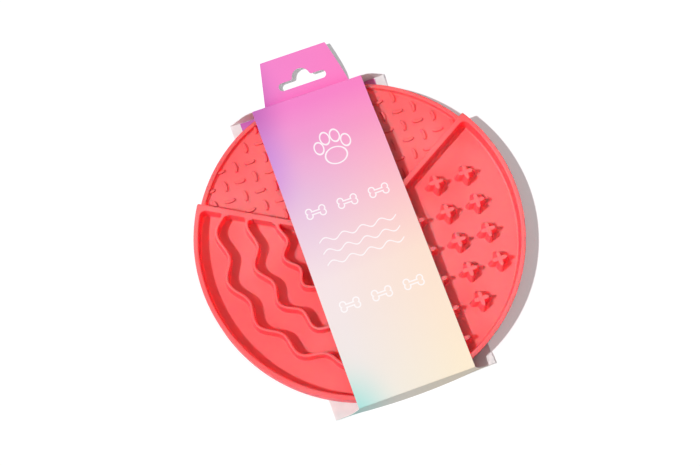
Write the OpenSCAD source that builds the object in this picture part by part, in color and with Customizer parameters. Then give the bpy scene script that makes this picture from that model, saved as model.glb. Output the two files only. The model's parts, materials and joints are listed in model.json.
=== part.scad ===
// Round silicone lick mat, packed in a folded card sleeve with a hang tab.
// The mat is one moulding with three trays: wavy ridges, cross studs and short curved dashes.
// The sleeve is one card blank, folded round the mat and glued to the hanger card inside it.
// X runs across the sleeve, Y along it towards the hang tab, Z up.
// The origin is under the middle of the mat, on the surface that the sleeve lies on.

/* [Mat] */
// Outer diameter over the top of the high rim
mat_d = 218.4; // [210:0.2:240]
// Height of the mat from its foot to the top of the high rim
mat_h = 16.7; // [15:0.1:22]
// Depth of the trays below the top of the high rim
tray_depth = 10.7; // [9.5:0.1:12]
// Thickness of the tray floor
floor_t = 2.5; // [1.5:0.1:3]
// Thickness of the foot wall that runs round under the floor
skirt_w = 3.2; // [2.5:0.1:4.5]
// How far the outer wall leans in from the top to the foot
wall_draft = 0.5; // [0:0.1:1]
// Bevel round the bottom edge of the outer wall
foot_bevel = 0.6; // [0.2:0.1:1]

/* [Rims and dividers] */
// Width of the high rim at its top
rim_w = 3.1; // [2:0.1:4]
// Width of the low rim at its top
low_rim_w = 2.9; // [2:0.1:3.5]
// Height of the low rim above the tray floor
low_rim_h = 3.4; // [2.5:0.1:6]
// How far the low rim stands in from the high rim
low_rim_set = 1.4; // [0.5:0.1:2.5]
// Width of a divider at its top
divider_w = 3.8; // [2.5:0.1:5]
// How far each side of a rim or divider leans out from its top to its foot
side_draft = 0.5; // [0.1:0.1:1]
// Rounding of the top edges of rims and dividers
edge_r = 0.8; // [0.3:0.1:1.1]
// Radius of the hollow fillet where a wall meets the tray floor
cove_r = 1.2; // [0.5:0.1:1.6]

/* [Wave ridges] */
// Distance from the outside of the mat in to the outermost ridge, at the front divider
ridge_inset = 25; // [23:0.1:28]
// Distance from the middle of the mat out to the innermost ridge, at the front divider
ridge_inner_r = 24.2; // [22:0.1:26]
// How much farther out the ridges start at the left divider than they end at the front one
ridge_drift = 8.4; // [0:0.1:10]
// Width of a ridge at its top
ridge_top_w = 1.8; // [1.2:0.1:2.6]
// Width of a ridge at its foot
ridge_foot_w = 3.4; // [2.8:0.1:4.5]
// How far the ridges stop short of the top of the high rim
ridge_drop = 0.3; // [0:0.1:2]
// Swing of the outermost ridge to each side of its arc
wave_amp = 3.1; // [2:0.1:4]
// How much less each next ridge swings
wave_amp_step = 0.1; // [0:0.1:0.4]

/* [Cross studs] */
// Distance between neighbouring studs
stud_pitch = 20.9; // [19:0.1:24]
// Distance of the first column of studs from the middle of the mat
stud_first_x = 18.1; // [15:0.1:20]
// Distance of the rearmost row of studs from the middle of the mat
stud_first_y = 16.7; // [12:0.1:18]
// Reach of a stud's four arms at its foot
stud_foot_r = 7.2; // [5:0.1:8]
// Depth of the notches between the arms at the foot
stud_foot_notch = 2.1; // [0.5:0.1:3]
// Reach of a stud's four arms at its top
stud_top_r = 4.8; // [3:0.1:5]
// Depth of the notches between the arms at the top
stud_top_notch = 2.8; // [1:0.1:3.4]
// How far the studs stop short of the top of the high rim
stud_drop = 0.3; // [0:0.1:3]

/* [Dashes] */
// Distance between neighbouring dashes
dash_pitch = 10.57; // [9.5:0.01:14]
// Sideways offset of the dash pattern from the middle of the mat
dash_first_x = 1.6; // [0:0.1:5]
// Distance of the first row of dashes from the middle of the mat
dash_first_y = 11.06; // [8:0.01:14]
// Length of a dash from end to end
dash_l = 7.6; // [5:0.1:8.5]
// How far the middle of a dash bows out of line
dash_bow = 1; // [0.4:0.1:1.6]
// Width of a dash
dash_w = 1.8; // [1:0.1:2.4]
// Height of a dash above the tray floor
dash_h = 1.8; // [1:0.1:3]

/* [Suction cups] */
// Distance between neighbouring cups under the floor
cup_pitch = 40; // [30:0.5:44]
// Diameter of a cup's lip
cup_d = 22; // [14:0.5:28]
// Diameter of the neck that joins a cup to the floor
cup_neck_d = 9; // [6:0.5:12]
// Height of that neck
cup_neck_h = 0.8; // [0.4:0.1:1.5]
// Thickness of a cup's lip
cup_lip_t = 0.6; // [0.4:0.1:1]
// Depth of the hollow under a cup
cup_hollow = 1.6; // [0.8:0.1:2]

/* [Sleeve] */
// Thickness of the card
card_t = 0.45; // [0.3:0.05:0.8]
// Running gap between the card and the sides and top of the mat
slide_gap = 0.25; // [0.2:0.05:1]
// Running gap between the hanger card and the foot of the mat
rest_gap = 0.1; // [0.1:0.05:0.5]
// Width of the back panel
back_w = 111; // [104:0.5:130]
// Width of the front panel at the foot end
front_foot_w = 79.4; // [70:0.2:90]
// Width of the front panel at the hang end
front_head_w = 77.6; // [70:0.2:84]
// Width of the foot spine just above its base, where its sides start to flare out to the corners
foot_spine_w = 92; // [86:0.5:100]
// How far the sides of the foot spine hollow in
foot_spine_hollow = 0.8; // [0:0.1:2]
// How far the front panel dips at the hang end, down over the low rim
head_drop = 3; // [1:0.1:5]
// Length of the stretch over which it dips
dip_run = 24; // [15:0.5:35]
// Width of the head spine just under the front panel
head_shoulder_w = 89.4; // [86:0.2:95]
// Height of that shoulder
shoulder_h = 1.4; // [0.6:0.1:3]

/* [Hang tab] */
// Length of the hang tab from its crease to its end
tab_l = 30; // [26:0.5:45]
// Width of the hang tab at its crease
tab_neck_w = 60.6; // [50:0.2:70]
// Sideways offset of the hang tab from the middle of the sleeve
tab_shift = 1.5; // [0:0.1:3]
// Width of the hang tab at its end
tab_end_w = 47.4; // [44:0.2:56]
// Radius of the hang tab's corners
tab_corner_r = 0.8; // [0.5:0.1:4]
// Angle at which the hang tab springs up from the flat
tab_lift = 6; // [0:0.5:15]
// Gap across the hang tab's crease
crease_gap = 0.6; // [0.5:0.05:1]
// Width of the hanger card inside the sleeve
hanger_w = 97; // [80:0.5:102]
// Length of the hanger card inside the sleeve
hanger_l = 32; // [15:0.5:45]
// Room round the hanger card in its slit
slit_gap = 0.3; // [0.15:0.05:0.6]
// Width of the hang hole
hole_w = 34; // [30:0.5:36]
// Height of the hang hole's long slot
hole_h = 5.4; // [4:0.1:6]
// Diameter of the hang hole's round middle
hole_mid_d = 12.8; // [11:0.1:14]
// Height of that middle above the slot
hole_mid_h = 6.2; // [5:0.1:7]
// Radius of the hollow fillets between the middle and the slot
hole_fillet_r = 1.6; // [0.8:0.1:2.4]
// Distance of the slot's middle line from the crease
hole_from_crease = 9.3; // [8:0.1:12]

/* [Hidden] */

$fn = 96;

// Overrun of cutting shapes past the faces that they cut
overrun = 1;
// How far joined profiles run into each other
lap = 0.1;

// Colours of the silicone and of the printed card
coral = [0.98, 0.42, 0.43];
coral_light = [1, 0.5, 0.5];
coral_deep = [0.9, 0.3, 0.33];
card_white = [0.95, 0.93, 0.92];
print_cream = [0.98, 0.92, 0.84];
print_pink = [0.98, 0.48, 0.77];

// Heights of the mat, from the surface up
foot_z = 2 * card_t + rest_gap;
rim_z = foot_z + mat_h;
floor_z = rim_z - tray_depth;
under_z = floor_z - floor_t;
low_rim_z = floor_z + low_rim_h;

// Radii of the mat
mat_r = mat_d / 2;
mat_foot_r = mat_r - wall_draft;
low_r = mat_r - low_rim_set;
low_foot_r = low_r - wall_draft * (low_rim_z - foot_z) / mat_h;
low_inner_r = low_r - low_rim_w - side_draft * low_rim_h / tray_depth;
floor_r = mat_foot_r - skirt_w;
ridge_r = mat_r - ridge_inset;

// Directions of the three dividers
right_deg = 30;
left_deg = 150;
front_deg = 270;
sector = 120;
// Angle that half a divider's width takes up at the rim
end_deg = asin(divider_w / 2 / mat_r);

// Wave ridges: length of one wave in degrees and a crest's direction, from the outermost in
wave_degrees = [21.6, 23.6, 25.4, 36];
crest_degrees = [159.3, 154.5, 151.7, 160];
// Distance between neighbouring ridges
ridge_pitch = (ridge_r - ridge_inner_r) / (len(wave_degrees) - 1);
ridge_rings = 60;
ridge_h = tray_depth - ridge_drop;
// Height of the flared foot and of the bevelled top, and how far the ridge narrows above its foot
ridge_flare_h = 0.9;
ridge_bevel = 0.35;

// Studs: rows and columns of the grid, and the faces round one stud
stud_rows = 6;
stud_columns = 4;
stud_sides = 32;
stud_h = tray_depth - stud_drop;
stud_flare = 0.4;
stud_flare_h = 0.6;
stud_bevel = 0.5;
// Least distance from a stud's foot to the walls round its tray
stud_wall_gap = 0.6;

// Dashes: rows and columns of the pattern, and the circle that a dash is an arc of
dash_rows = 10;
dash_columns = 11;
dash_r = (dash_l * dash_l / 4 + dash_bow * dash_bow) / (2 * dash_bow);
dash_degrees = 2 * asin(dash_l / 2 / dash_r);
dash_bevel = 0.4;

// Suction cups: rings of the hexagonal pattern round the middle cup
cup_rings = 2;

// Inside faces of the sleeve at its foot, its head and under its front panel
foot_end_y = -(mat_r + slide_gap);
head_end_y = low_r + slide_gap;
front_z = rim_z + slide_gap;
// Place where the front panel starts to dip, past the ends of the high rim
dip_from = mat_r * sin(right_deg) + divider_w + slide_gap;
dip_steps = 12;
spine_steps = 12;
// How sharply the foot spine's sides flare out just above the back panel
flare_power = 14;

// Crease of the hang tab: a line along X, halfway through the card
crease_y = head_end_y + card_t + crease_gap;
crease_z = card_t + card_t / 2;

// Smooth step from 0 to 1
function ease(t) = let (s = min(1, max(0, t))) s * s * (3 - 2 * s);

// Underside of the front panel at the place y
function panel_z(y) = front_z - head_drop * ease((y - dip_from) / dip_run);

// Section of a rim, from the foot of the mat to the rim's rounded top and its fillet on the floor
module rim_section(foot_radius, top_radius, w, top_z) {
    inner_r = top_radius - w;
    inner_foot_r = inner_r - side_draft * (top_z - floor_z) / tray_depth;
    shoulder_z = top_z - edge_r;
    polygon([
        [floor_r, foot_z], [foot_radius - foot_bevel, foot_z], [foot_radius, foot_z + foot_bevel],
        [top_radius, shoulder_z], [inner_r, shoulder_z],
        [inner_foot_r, floor_z], [floor_r, floor_z]
    ]);
    translate([inner_r + edge_r, shoulder_z - lap]) square([w - 2 * edge_r, edge_r + lap]);
    for (x = [inner_r + edge_r, top_radius - edge_r])
        translate([x, shoulder_z]) circle(r = edge_r);
    cove_section(inner_foot_r);
}

// Hollow fillet in front of a wall whose foot is at x, on the side towards zero
module cove_section(x) {
    difference() {
        translate([x - cove_r, floor_z]) square([cove_r + lap, cove_r]);
        translate([x - cove_r, floor_z + cove_r]) circle(r = cove_r);
    }
}

// Section of a divider, standing on the floor about x = 0
module divider_section() {
    half_w = divider_w / 2;
    shoulder_z = rim_z - edge_r;
    polygon([
        [-half_w - side_draft, floor_z], [half_w + side_draft, floor_z],
        [half_w, shoulder_z], [-half_w, shoulder_z]
    ]);
    translate([edge_r - half_w, shoulder_z - lap]) square([divider_w - 2 * edge_r, edge_r + lap]);
    for (side = [-1, 1])
        translate([side * (half_w - edge_r), shoulder_z]) circle(r = edge_r);
    cove_section(-half_w - side_draft);
    mirror([1, 0]) cove_section(-half_w - side_draft);
}

// Section of the high rim
module high_rim_section() {
    rim_section(mat_foot_r, mat_r, rim_w, rim_z);
}

// Wedge of the mat between two mitre planes, about the direction deg
module mitre_wedge(deg, spread) {
    rotate([0, 0, deg]) linear_extrude(height = rim_z + overrun)
        polygon([[0, 0], mat_d * [cos(spread), -sin(spread)], mat_d * [1, 0],
                 mat_d * [cos(spread), sin(spread)]]);
}

// Room that the low rim takes up outside its inner face
module low_rim_room() {
    rotate([0, 0, right_deg + end_deg]) rotate_extrude(angle = sector - 2 * end_deg)
        translate([low_inner_r, floor_z - overrun]) square([rim_w + low_rim_set, tray_depth + 2 * overrun]);
}

// One divider, from its mitre at the middle to the inner faces of the rims
module divider(deg) {
    color(coral_light) difference() {
        intersection() {
            rotate([0, 0, deg]) rotate([90, 0, 90]) linear_extrude(height = mat_r - rim_w / 2)
                divider_section();
            mitre_wedge(deg, sector / 2);
        }
        rotate_extrude() high_rim_section();
        if (deg != front_deg) low_rim_room();
    }
}

module mat_floor() {
    color(coral) translate([0, 0, under_z]) cylinder(r = floor_r, h = floor_t, $fn = 128);
}

// The two high rims meet at the front divider, and end level with the far faces of the other two
module wave_side_rim() {
    color(coral) rotate([0, 0, left_deg - end_deg]) rotate_extrude(angle = sector + end_deg)
        high_rim_section();
}

module stud_side_rim() {
    color(coral) rotate([0, 0, front_deg]) rotate_extrude(angle = sector + end_deg)
        high_rim_section();
}

module dash_side_rim() {
    color(coral) rotate([0, 0, right_deg + end_deg]) rotate_extrude(angle = sector - 2 * end_deg)
        rim_section(low_foot_r, low_r, low_rim_w, low_rim_z);
}

module left_divider() {
    divider(left_deg);
}

module right_divider() {
    divider(right_deg);
}

module front_divider() {
    divider(front_deg);
}

// Radius of ridge i in the direction deg
function wave_r(i, deg) = ridge_r - i * ridge_pitch
    + ridge_drift * pow((front_deg - deg) / sector, 2)
    + (wave_amp - i * wave_amp_step) * cos(360 * (deg - crest_degrees[i]) / wave_degrees[i]);

// Middle line of ridge i, and the unit vector square to it
function wave_point(i, deg) = wave_r(i, deg) * [cos(deg), sin(deg)];
function wave_side(i, deg) = let (
    d = wave_point(i, deg + 0.5) - wave_point(i, deg - 0.5)
) [d.y, -d.x] / norm(d);

// Half the section of a ridge: distance from its middle line and height, from the foot up
ridge_half_section = [
    [ridge_foot_w / 2, 0],
    [(ridge_foot_w + ridge_top_w) / 4, ridge_flare_h],
    [ridge_top_w / 2, ridge_h - ridge_bevel],
    [ridge_top_w / 2 - ridge_bevel, ridge_h]
];

// One wavy ridge, swept along its middle line and cut where it meets the dividers
module wave_ridge(i) {
    section = concat(ridge_half_section,
                     [for (k = [3:-1:0]) [-ridge_half_section[k].x, ridge_half_section[k].y]]);
    n = len(section);
    rings = [for (k = [0:ridge_rings]) left_deg + sector * k / ridge_rings];
    points = [for (deg = rings, s = section)
        let (p = wave_point(i, deg) + s.x * wave_side(i, deg)) [p.x, p.y, floor_z + s.y]];
    sides = [for (k = [0:ridge_rings - 1], j = [0:n - 1], half = [0, 1])
        let (a = k * n + j, b = k * n + (j + 1) % n)
        half == 0 ? [a, b, b + n] : [a, b + n, a + n]];
    first_end = [for (j = [1:n - 2]) [0, j + 1, j]];
    last_ring = ridge_rings * n;
    last_end = [for (j = [1:n - 2]) [last_ring, last_ring + j, last_ring + j + 1]];
    color(coral_light) difference() {
        polyhedron(points, concat(sides, first_end, last_end));
        divider(left_deg);
        divider(front_deg);
    }
}

module wave_ridge_1() {
    wave_ridge(0);
}

module wave_ridge_2() {
    wave_ridge(1);
}

module wave_ridge_3() {
    wave_ridge(2);
}

module wave_ridge_4() {
    wave_ridge(3);
}

// Reach of a stud in the direction deg, for arms of length reach with notches between them
function stud_r(reach, notch, deg) = reach - notch * (1 - cos(4 * deg)) / 2;

// One four-armed stud, standing on the floor at the origin
module stud() {
    levels = [
        [stud_foot_r, stud_foot_notch, 0],
        [stud_foot_r - stud_flare, stud_foot_notch, stud_flare_h],
        [stud_top_r, stud_top_notch, stud_h - stud_bevel],
        [stud_top_r - stud_bevel, stud_top_notch, stud_h]
    ];
    n = stud_sides;
    points = [for (level = levels, k = [0:n - 1])
        let (deg = 360 * k / n, r = stud_r(level.x, level.y, deg))
        [r * cos(deg), r * sin(deg), level.z]];
    top = len(points);
    sides = [for (level = [0:len(levels) - 2], k = [0:n - 1], half = [0, 1])
        let (a = level * n + k, b = level * n + (k + 1) % n)
        half == 0 ? [a, b + n, b] : [a, a + n, b + n]];
    foot_fan = [for (k = [0:n - 1]) [k, (k + 1) % n, top]];
    top_fan = [for (k = [0:n - 1]) [top - n + (k + 1) % n, top - n + k, top + 1]];
    polyhedron(concat(points, [[0, 0, 0], [0, 0, stud_h]]), concat(sides, foot_fan, top_fan));
}

// Distance of a place from the right-hand divider's near face
function right_divider_gap(p) = p.x * sin(right_deg) - p.y * cos(right_deg)
    - divider_w / 2 - side_draft;

// Whether a stud at p stands clear of the rim and the dividers
function stud_fits(p) =
    norm(p) < mat_r - rim_w - side_draft - cove_r - stud_wall_gap - stud_foot_notch
    && right_divider_gap(p) > stud_foot_r + stud_wall_gap;

module cross_studs() {
    color(coral_light) for (column = [0:stud_columns - 1], row = [0:stud_rows - 1]) {
        p = [stud_first_x + column * stud_pitch, stud_first_y - row * stud_pitch];
        if (stud_fits(p)) translate([p.x, p.y, floor_z]) stud();
    }
}

// One dash, an arc that bows towards -Y, with its middle at the origin
module dash() {
    translate([0, dash_r - dash_bow / 2, floor_z]) rotate([0, 0, -90 - dash_degrees / 2])
        rotate_extrude(angle = dash_degrees) translate([dash_r, 0])
            polygon([
                [-dash_w / 2, 0], [dash_w / 2, 0], [dash_w / 2, dash_h - dash_bevel],
                [dash_w / 2 - dash_bevel, dash_h], [dash_bevel - dash_w / 2, dash_h],
                [-dash_w / 2, dash_h - dash_bevel]
            ]);
}

// Whether a dash at p touches its tray, and so is drawn and cut to it
function dash_fits(p) = norm(p) < low_r - low_rim_w
    && p.y > abs(p.x) * tan(right_deg) + divider_w / 2 / cos(right_deg);

module curved_dashes() {
    color(coral_light) difference() {
        intersection() {
            for (column = [-dash_columns:dash_columns], row = [0:dash_rows]) {
                p = [dash_first_x + column * dash_pitch, dash_first_y + row * dash_pitch];
                if (dash_fits(p))
                    translate([p.x, p.y, 0]) rotate([0, 0, (column + row) % 2 == 0 ? 90 : 0]) dash();
            }
            cylinder(r = low_inner_r - cove_r, h = rim_z, $fn = 128);
        }
        right_divider();
        left_divider();
    }
}

// One suction cup, turned about Z, from its neck under the floor to its lip
module suction_cup() {
    rotate_extrude() polygon([
        [0, under_z], [cup_neck_d / 2, under_z], [cup_neck_d / 2, under_z - cup_neck_h],
        [cup_d / 2, foot_z + cup_lip_t], [cup_d / 2, foot_z], [cup_d / 2 - cup_lip_t, foot_z],
        [0, foot_z + cup_hollow]
    ]);
}

module suction_cups() {
    color(coral_deep) for (i = [-cup_rings:cup_rings], j = [-cup_rings:cup_rings])
        if (abs(i + j) <= cup_rings)
            translate(cup_pitch * [i + j / 2, j * sin(60), 0]) suction_cup();
}

// Rectangle on the surface, w wide, between two places along Y
module card_sheet(w, from_y, to_y) {
    translate([-w / 2, from_y]) square([w, to_y - from_y]);
}

module back_panel() {
    color(card_white) linear_extrude(height = card_t)
        card_sheet(back_w, foot_end_y - card_t, head_end_y + card_t);
}

// Upright card in the XZ plane, whose inner face is at y
module upright(y) {
    translate([0, y + card_t, 0]) rotate([90, 0, 0]) linear_extrude(height = card_t) children();
}

// Spine over the foot end, whose sides hollow in and flare out to the back panel's corners
module foot_spine() {
    base_z = card_t;
    side_h = front_z - base_z;
    side = [for (k = [0:spine_steps]) let (t = pow(k / spine_steps, 2)) [
        (foot_spine_w + t * (front_foot_w - foot_spine_w)) / 2 - foot_spine_hollow * sin(180 * t)
            + (back_w - foot_spine_w) / 2 * pow(1 - t, flare_power),
        base_z + t * side_h
    ]];
    color(print_cream) upright(foot_end_y - card_t)
        polygon(concat(side, [for (k = [spine_steps:-1:0]) [-side[k].x, side[k].y]]));
}

// Spine over the head end, with the slit that the hanger card comes out of
module head_spine() {
    top_z = panel_z(head_end_y);
    shoulder_z = top_z - shoulder_h;
    color(print_pink) difference() {
        upright(head_end_y) polygon([
            [-back_w / 2, card_t], [back_w / 2, card_t], [head_shoulder_w / 2, shoulder_z],
            [front_head_w / 2, top_z], [-front_head_w / 2, top_z], [-head_shoulder_w / 2, shoulder_z]
        ]);
        translate([tab_shift - tab_neck_w / 2 - slit_gap, head_end_y - overrun, card_t - overrun])
            cube([tab_neck_w + 2 * slit_gap, card_t + 2 * overrun, card_t + slit_gap + overrun]);
    }
}

// Front panel, bent down at the hang end, as its side view cut to its outline
module front_panel() {
    from_y = foot_end_y - card_t;
    to_y = head_end_y + card_t;
    bend = [for (k = [0:dip_steps]) dip_from + dip_run * k / dip_steps];
    line = concat([from_y], bend, [to_y]);
    under = [for (y = line) [y, panel_z(y)]];
    over = [for (k = [len(line) - 1:-1:0]) [line[k], panel_z(line[k]) + card_t]];
    color(print_cream) intersection() {
        translate([-back_w / 2, 0, 0]) rotate([90, 0, 90]) linear_extrude(height = back_w)
            polygon(concat(under, over));
        linear_extrude(height = front_z + card_t + overrun) polygon([
            [-front_foot_w / 2, from_y], [front_foot_w / 2, from_y],
            [front_head_w / 2, to_y], [-front_head_w / 2, to_y]
        ]);
    }
}

// Hanger card, glued on the back panel, with its neck out through the slit to the crease
module hanger_card() {
    shoulder_y = head_end_y - slit_gap;
    color(print_pink) translate([0, 0, card_t]) linear_extrude(height = card_t) {
        card_sheet(hanger_w, shoulder_y - hanger_l, shoulder_y);
        translate([tab_shift, 0]) card_sheet(tab_neck_w, shoulder_y - lap, crease_y - crease_gap / 2);
    }
}

// Hang hole: a long slot with a round middle that stands up out of it, exact so that a hook fits
module hang_hole() {
    slot_r = hole_h / 2;
    mid_r = hole_mid_d / 2;
    mid_y = slot_r + hole_mid_h - mid_r;
    h = 2 * card_t;
    // Middles of the fillets, and the height at which they touch the round middle
    fillet_y = slot_r + hole_fillet_r;
    fillet_x = sqrt(pow(mid_r + hole_fillet_r, 2) - pow(fillet_y - mid_y, 2));
    touch_y = fillet_y - hole_fillet_r * (fillet_y - mid_y) / (mid_r + hole_fillet_r);
    translate([0, 0, -card_t]) {
        for (side = [-1, 1]) translate([side * (hole_w / 2 - slot_r), 0, 0]) cylinder(r = slot_r, h = h);
        translate([slot_r - hole_w / 2, -slot_r, 0]) cube([hole_w - hole_h, hole_h, h]);
        intersection() {
            translate([0, mid_y, 0]) cylinder(r = mid_r, h = h);
            translate([-mid_r, -slot_r, 0]) cube([hole_mid_d, hole_h + hole_mid_h, h]);
        }
        difference() {
            translate([-fillet_x, -slot_r, 0]) cube([2 * fillet_x, slot_r + touch_y, h]);
            for (side = [-1, 1])
                translate([side * fillet_x, fillet_y, -overrun]) cylinder(r = hole_fillet_r, h = h + 2 * overrun);
        }
    }
}

// Hang tab, a tapered card with rounded corners that turns about its crease
module hang_tab() {
    end_x = tab_end_w / 2 - tab_corner_r;
    color(print_pink) translate([tab_shift, crease_y, crease_z]) rotate([tab_lift, 0, 0]) difference() {
        translate([0, 0, -card_t / 2]) union() {
            linear_extrude(height = card_t) polygon([
                [-tab_neck_w / 2, crease_gap / 2], [tab_neck_w / 2, crease_gap / 2],
                [tab_end_w / 2, tab_l - tab_corner_r], [end_x, tab_l - tab_corner_r],
                [end_x, tab_l], [-end_x, tab_l], [-end_x, tab_l - tab_corner_r],
                [-tab_end_w / 2, tab_l - tab_corner_r]
            ]);
            for (side = [-1, 1])
                translate([side * end_x, tab_l - tab_corner_r, 0]) cylinder(r = tab_corner_r, h = card_t);
        }
        translate([0, hole_from_crease, 0]) hang_hole();
    }
}

mat_floor();
wave_side_rim();
stud_side_rim();
dash_side_rim();
left_divider();
right_divider();
front_divider();
wave_ridge_1();
wave_ridge_2();
wave_ridge_3();
wave_ridge_4();
cross_studs();
curved_dashes();
suction_cups();
back_panel();
foot_spine();
head_spine();
front_panel();
hanger_card();
hang_tab();
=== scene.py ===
"""Round silicone lick mat in a folded card sleeve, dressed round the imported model.

The mat is one soft moulding with three trays: wavy ridges, cross studs and curved dashes.
The sleeve is printed card, folded round the mat, with a hanger card whose tab folds at a crease.
Lengths are in metres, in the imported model's own frame: Y runs towards the hang tab and Z up.
"""

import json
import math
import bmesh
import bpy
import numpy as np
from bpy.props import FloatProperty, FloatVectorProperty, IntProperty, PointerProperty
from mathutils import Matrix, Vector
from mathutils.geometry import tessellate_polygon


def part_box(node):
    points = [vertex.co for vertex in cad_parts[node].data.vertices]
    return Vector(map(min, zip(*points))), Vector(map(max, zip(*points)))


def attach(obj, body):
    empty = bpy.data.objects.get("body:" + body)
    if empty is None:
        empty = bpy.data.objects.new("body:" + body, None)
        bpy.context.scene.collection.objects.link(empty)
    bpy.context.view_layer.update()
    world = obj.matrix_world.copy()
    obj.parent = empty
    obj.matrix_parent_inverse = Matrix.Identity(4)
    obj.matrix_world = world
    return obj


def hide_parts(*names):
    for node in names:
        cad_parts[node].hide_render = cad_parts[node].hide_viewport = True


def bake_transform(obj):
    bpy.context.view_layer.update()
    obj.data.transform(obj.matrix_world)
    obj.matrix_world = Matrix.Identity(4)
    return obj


bl_info = {
    "name": "Lick mat in a card sleeve",
    "version": (1, 0, 0),
    "blender": (4, 5, 0),
    "location": "3D View > Sidebar > Lick mat",
    "description": "Builds a moulded silicone lick mat, its printed card sleeve and a plain studio",
    "category": "Object",
}

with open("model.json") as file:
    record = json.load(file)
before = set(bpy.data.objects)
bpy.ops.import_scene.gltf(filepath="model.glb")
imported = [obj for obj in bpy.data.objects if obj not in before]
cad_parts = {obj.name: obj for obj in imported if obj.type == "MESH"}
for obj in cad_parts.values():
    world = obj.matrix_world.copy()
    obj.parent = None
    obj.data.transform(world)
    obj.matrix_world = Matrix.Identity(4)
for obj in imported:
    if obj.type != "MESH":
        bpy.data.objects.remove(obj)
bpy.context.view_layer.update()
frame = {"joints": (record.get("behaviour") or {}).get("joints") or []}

MM = 0.001

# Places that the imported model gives
FLOOR_LOW, FLOOR_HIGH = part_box("mat_floor")
UNDER_Z, FLOOR_Z = FLOOR_LOW[2], FLOOR_HIGH[2]
RIM_LOW, RIM_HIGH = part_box("wave_side_rim")
MAT_R, FOOT_Z, RIM_Z = -RIM_LOW[0], RIM_LOW[2], RIM_HIGH[2]
LOW_RIM_R, LOW_RIM_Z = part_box("dash_side_rim")[1][1:]
BACK_LOW, BACK_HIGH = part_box("back_panel")
CARD_T = BACK_HIGH[2]
FRONT_LOW, FRONT_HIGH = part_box("front_panel")
HEAD_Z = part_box("head_spine")[1][2]
HANGER_LOW, HANGER_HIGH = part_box("hanger_card")
TAB_HINGE = next(joint for joint in frame["joints"] if joint["name"] == "tab_fold")["pos_m"]

# Directions of the three dividers, and the turn from one to the next
RIGHT_DEG, LEFT_DEG, FRONT_DEG = 30, 150, 270
TRAY_TURN = 120
FULL_TURN = 360
HALF_TRAY_SIN = math.sin(math.radians(TRAY_TURN / 2))

# How deep pieces that stand on the floor reach into it
SINK = 2.2 * MM
# Level at which the walls end inside the floor
WALL_END_Z = FLOOR_Z - 1 * MM
# Corners of a mesh nearer than this become one, and edges flatter than this are smooth
MERGE = 0.002 * MM
SMOOTH_DEG = 38

MAT_BODY, SLEEVE_BODY, TAB_BODY = "mat", "sleeve", "hang_tab"
# Number of a card piece's material: its printed side, its bare side and its cut edges
PRINTED, BARE, CUT = 0, 1, 2


def linear(red, green, blue):
    """A colour as Blender's shaders take it, from its 0 to 255 screen values."""
    return tuple(
        (c / 12.92 if c <= 0.04045 else ((c + 0.055) / 1.055) ** 2.4)
        for c in (red / 255, green / 255, blue / 255)
    )


def length(name, millimetres, description, low=0.1, high=200):
    """A length property with its default in millimetres."""
    return FloatProperty(
        name=name, description=description, default=millimetres * MM,
        min=low * MM, max=high * MM, unit="LENGTH", precision=4,
    )


def tint(name, description, red, green, blue):
    """A colour property with its default in 0 to 255 screen values."""
    return FloatVectorProperty(
        name=name, description=description, subtype="COLOR", size=3,
        default=linear(red, green, blue), min=0, max=1,
    )


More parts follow.
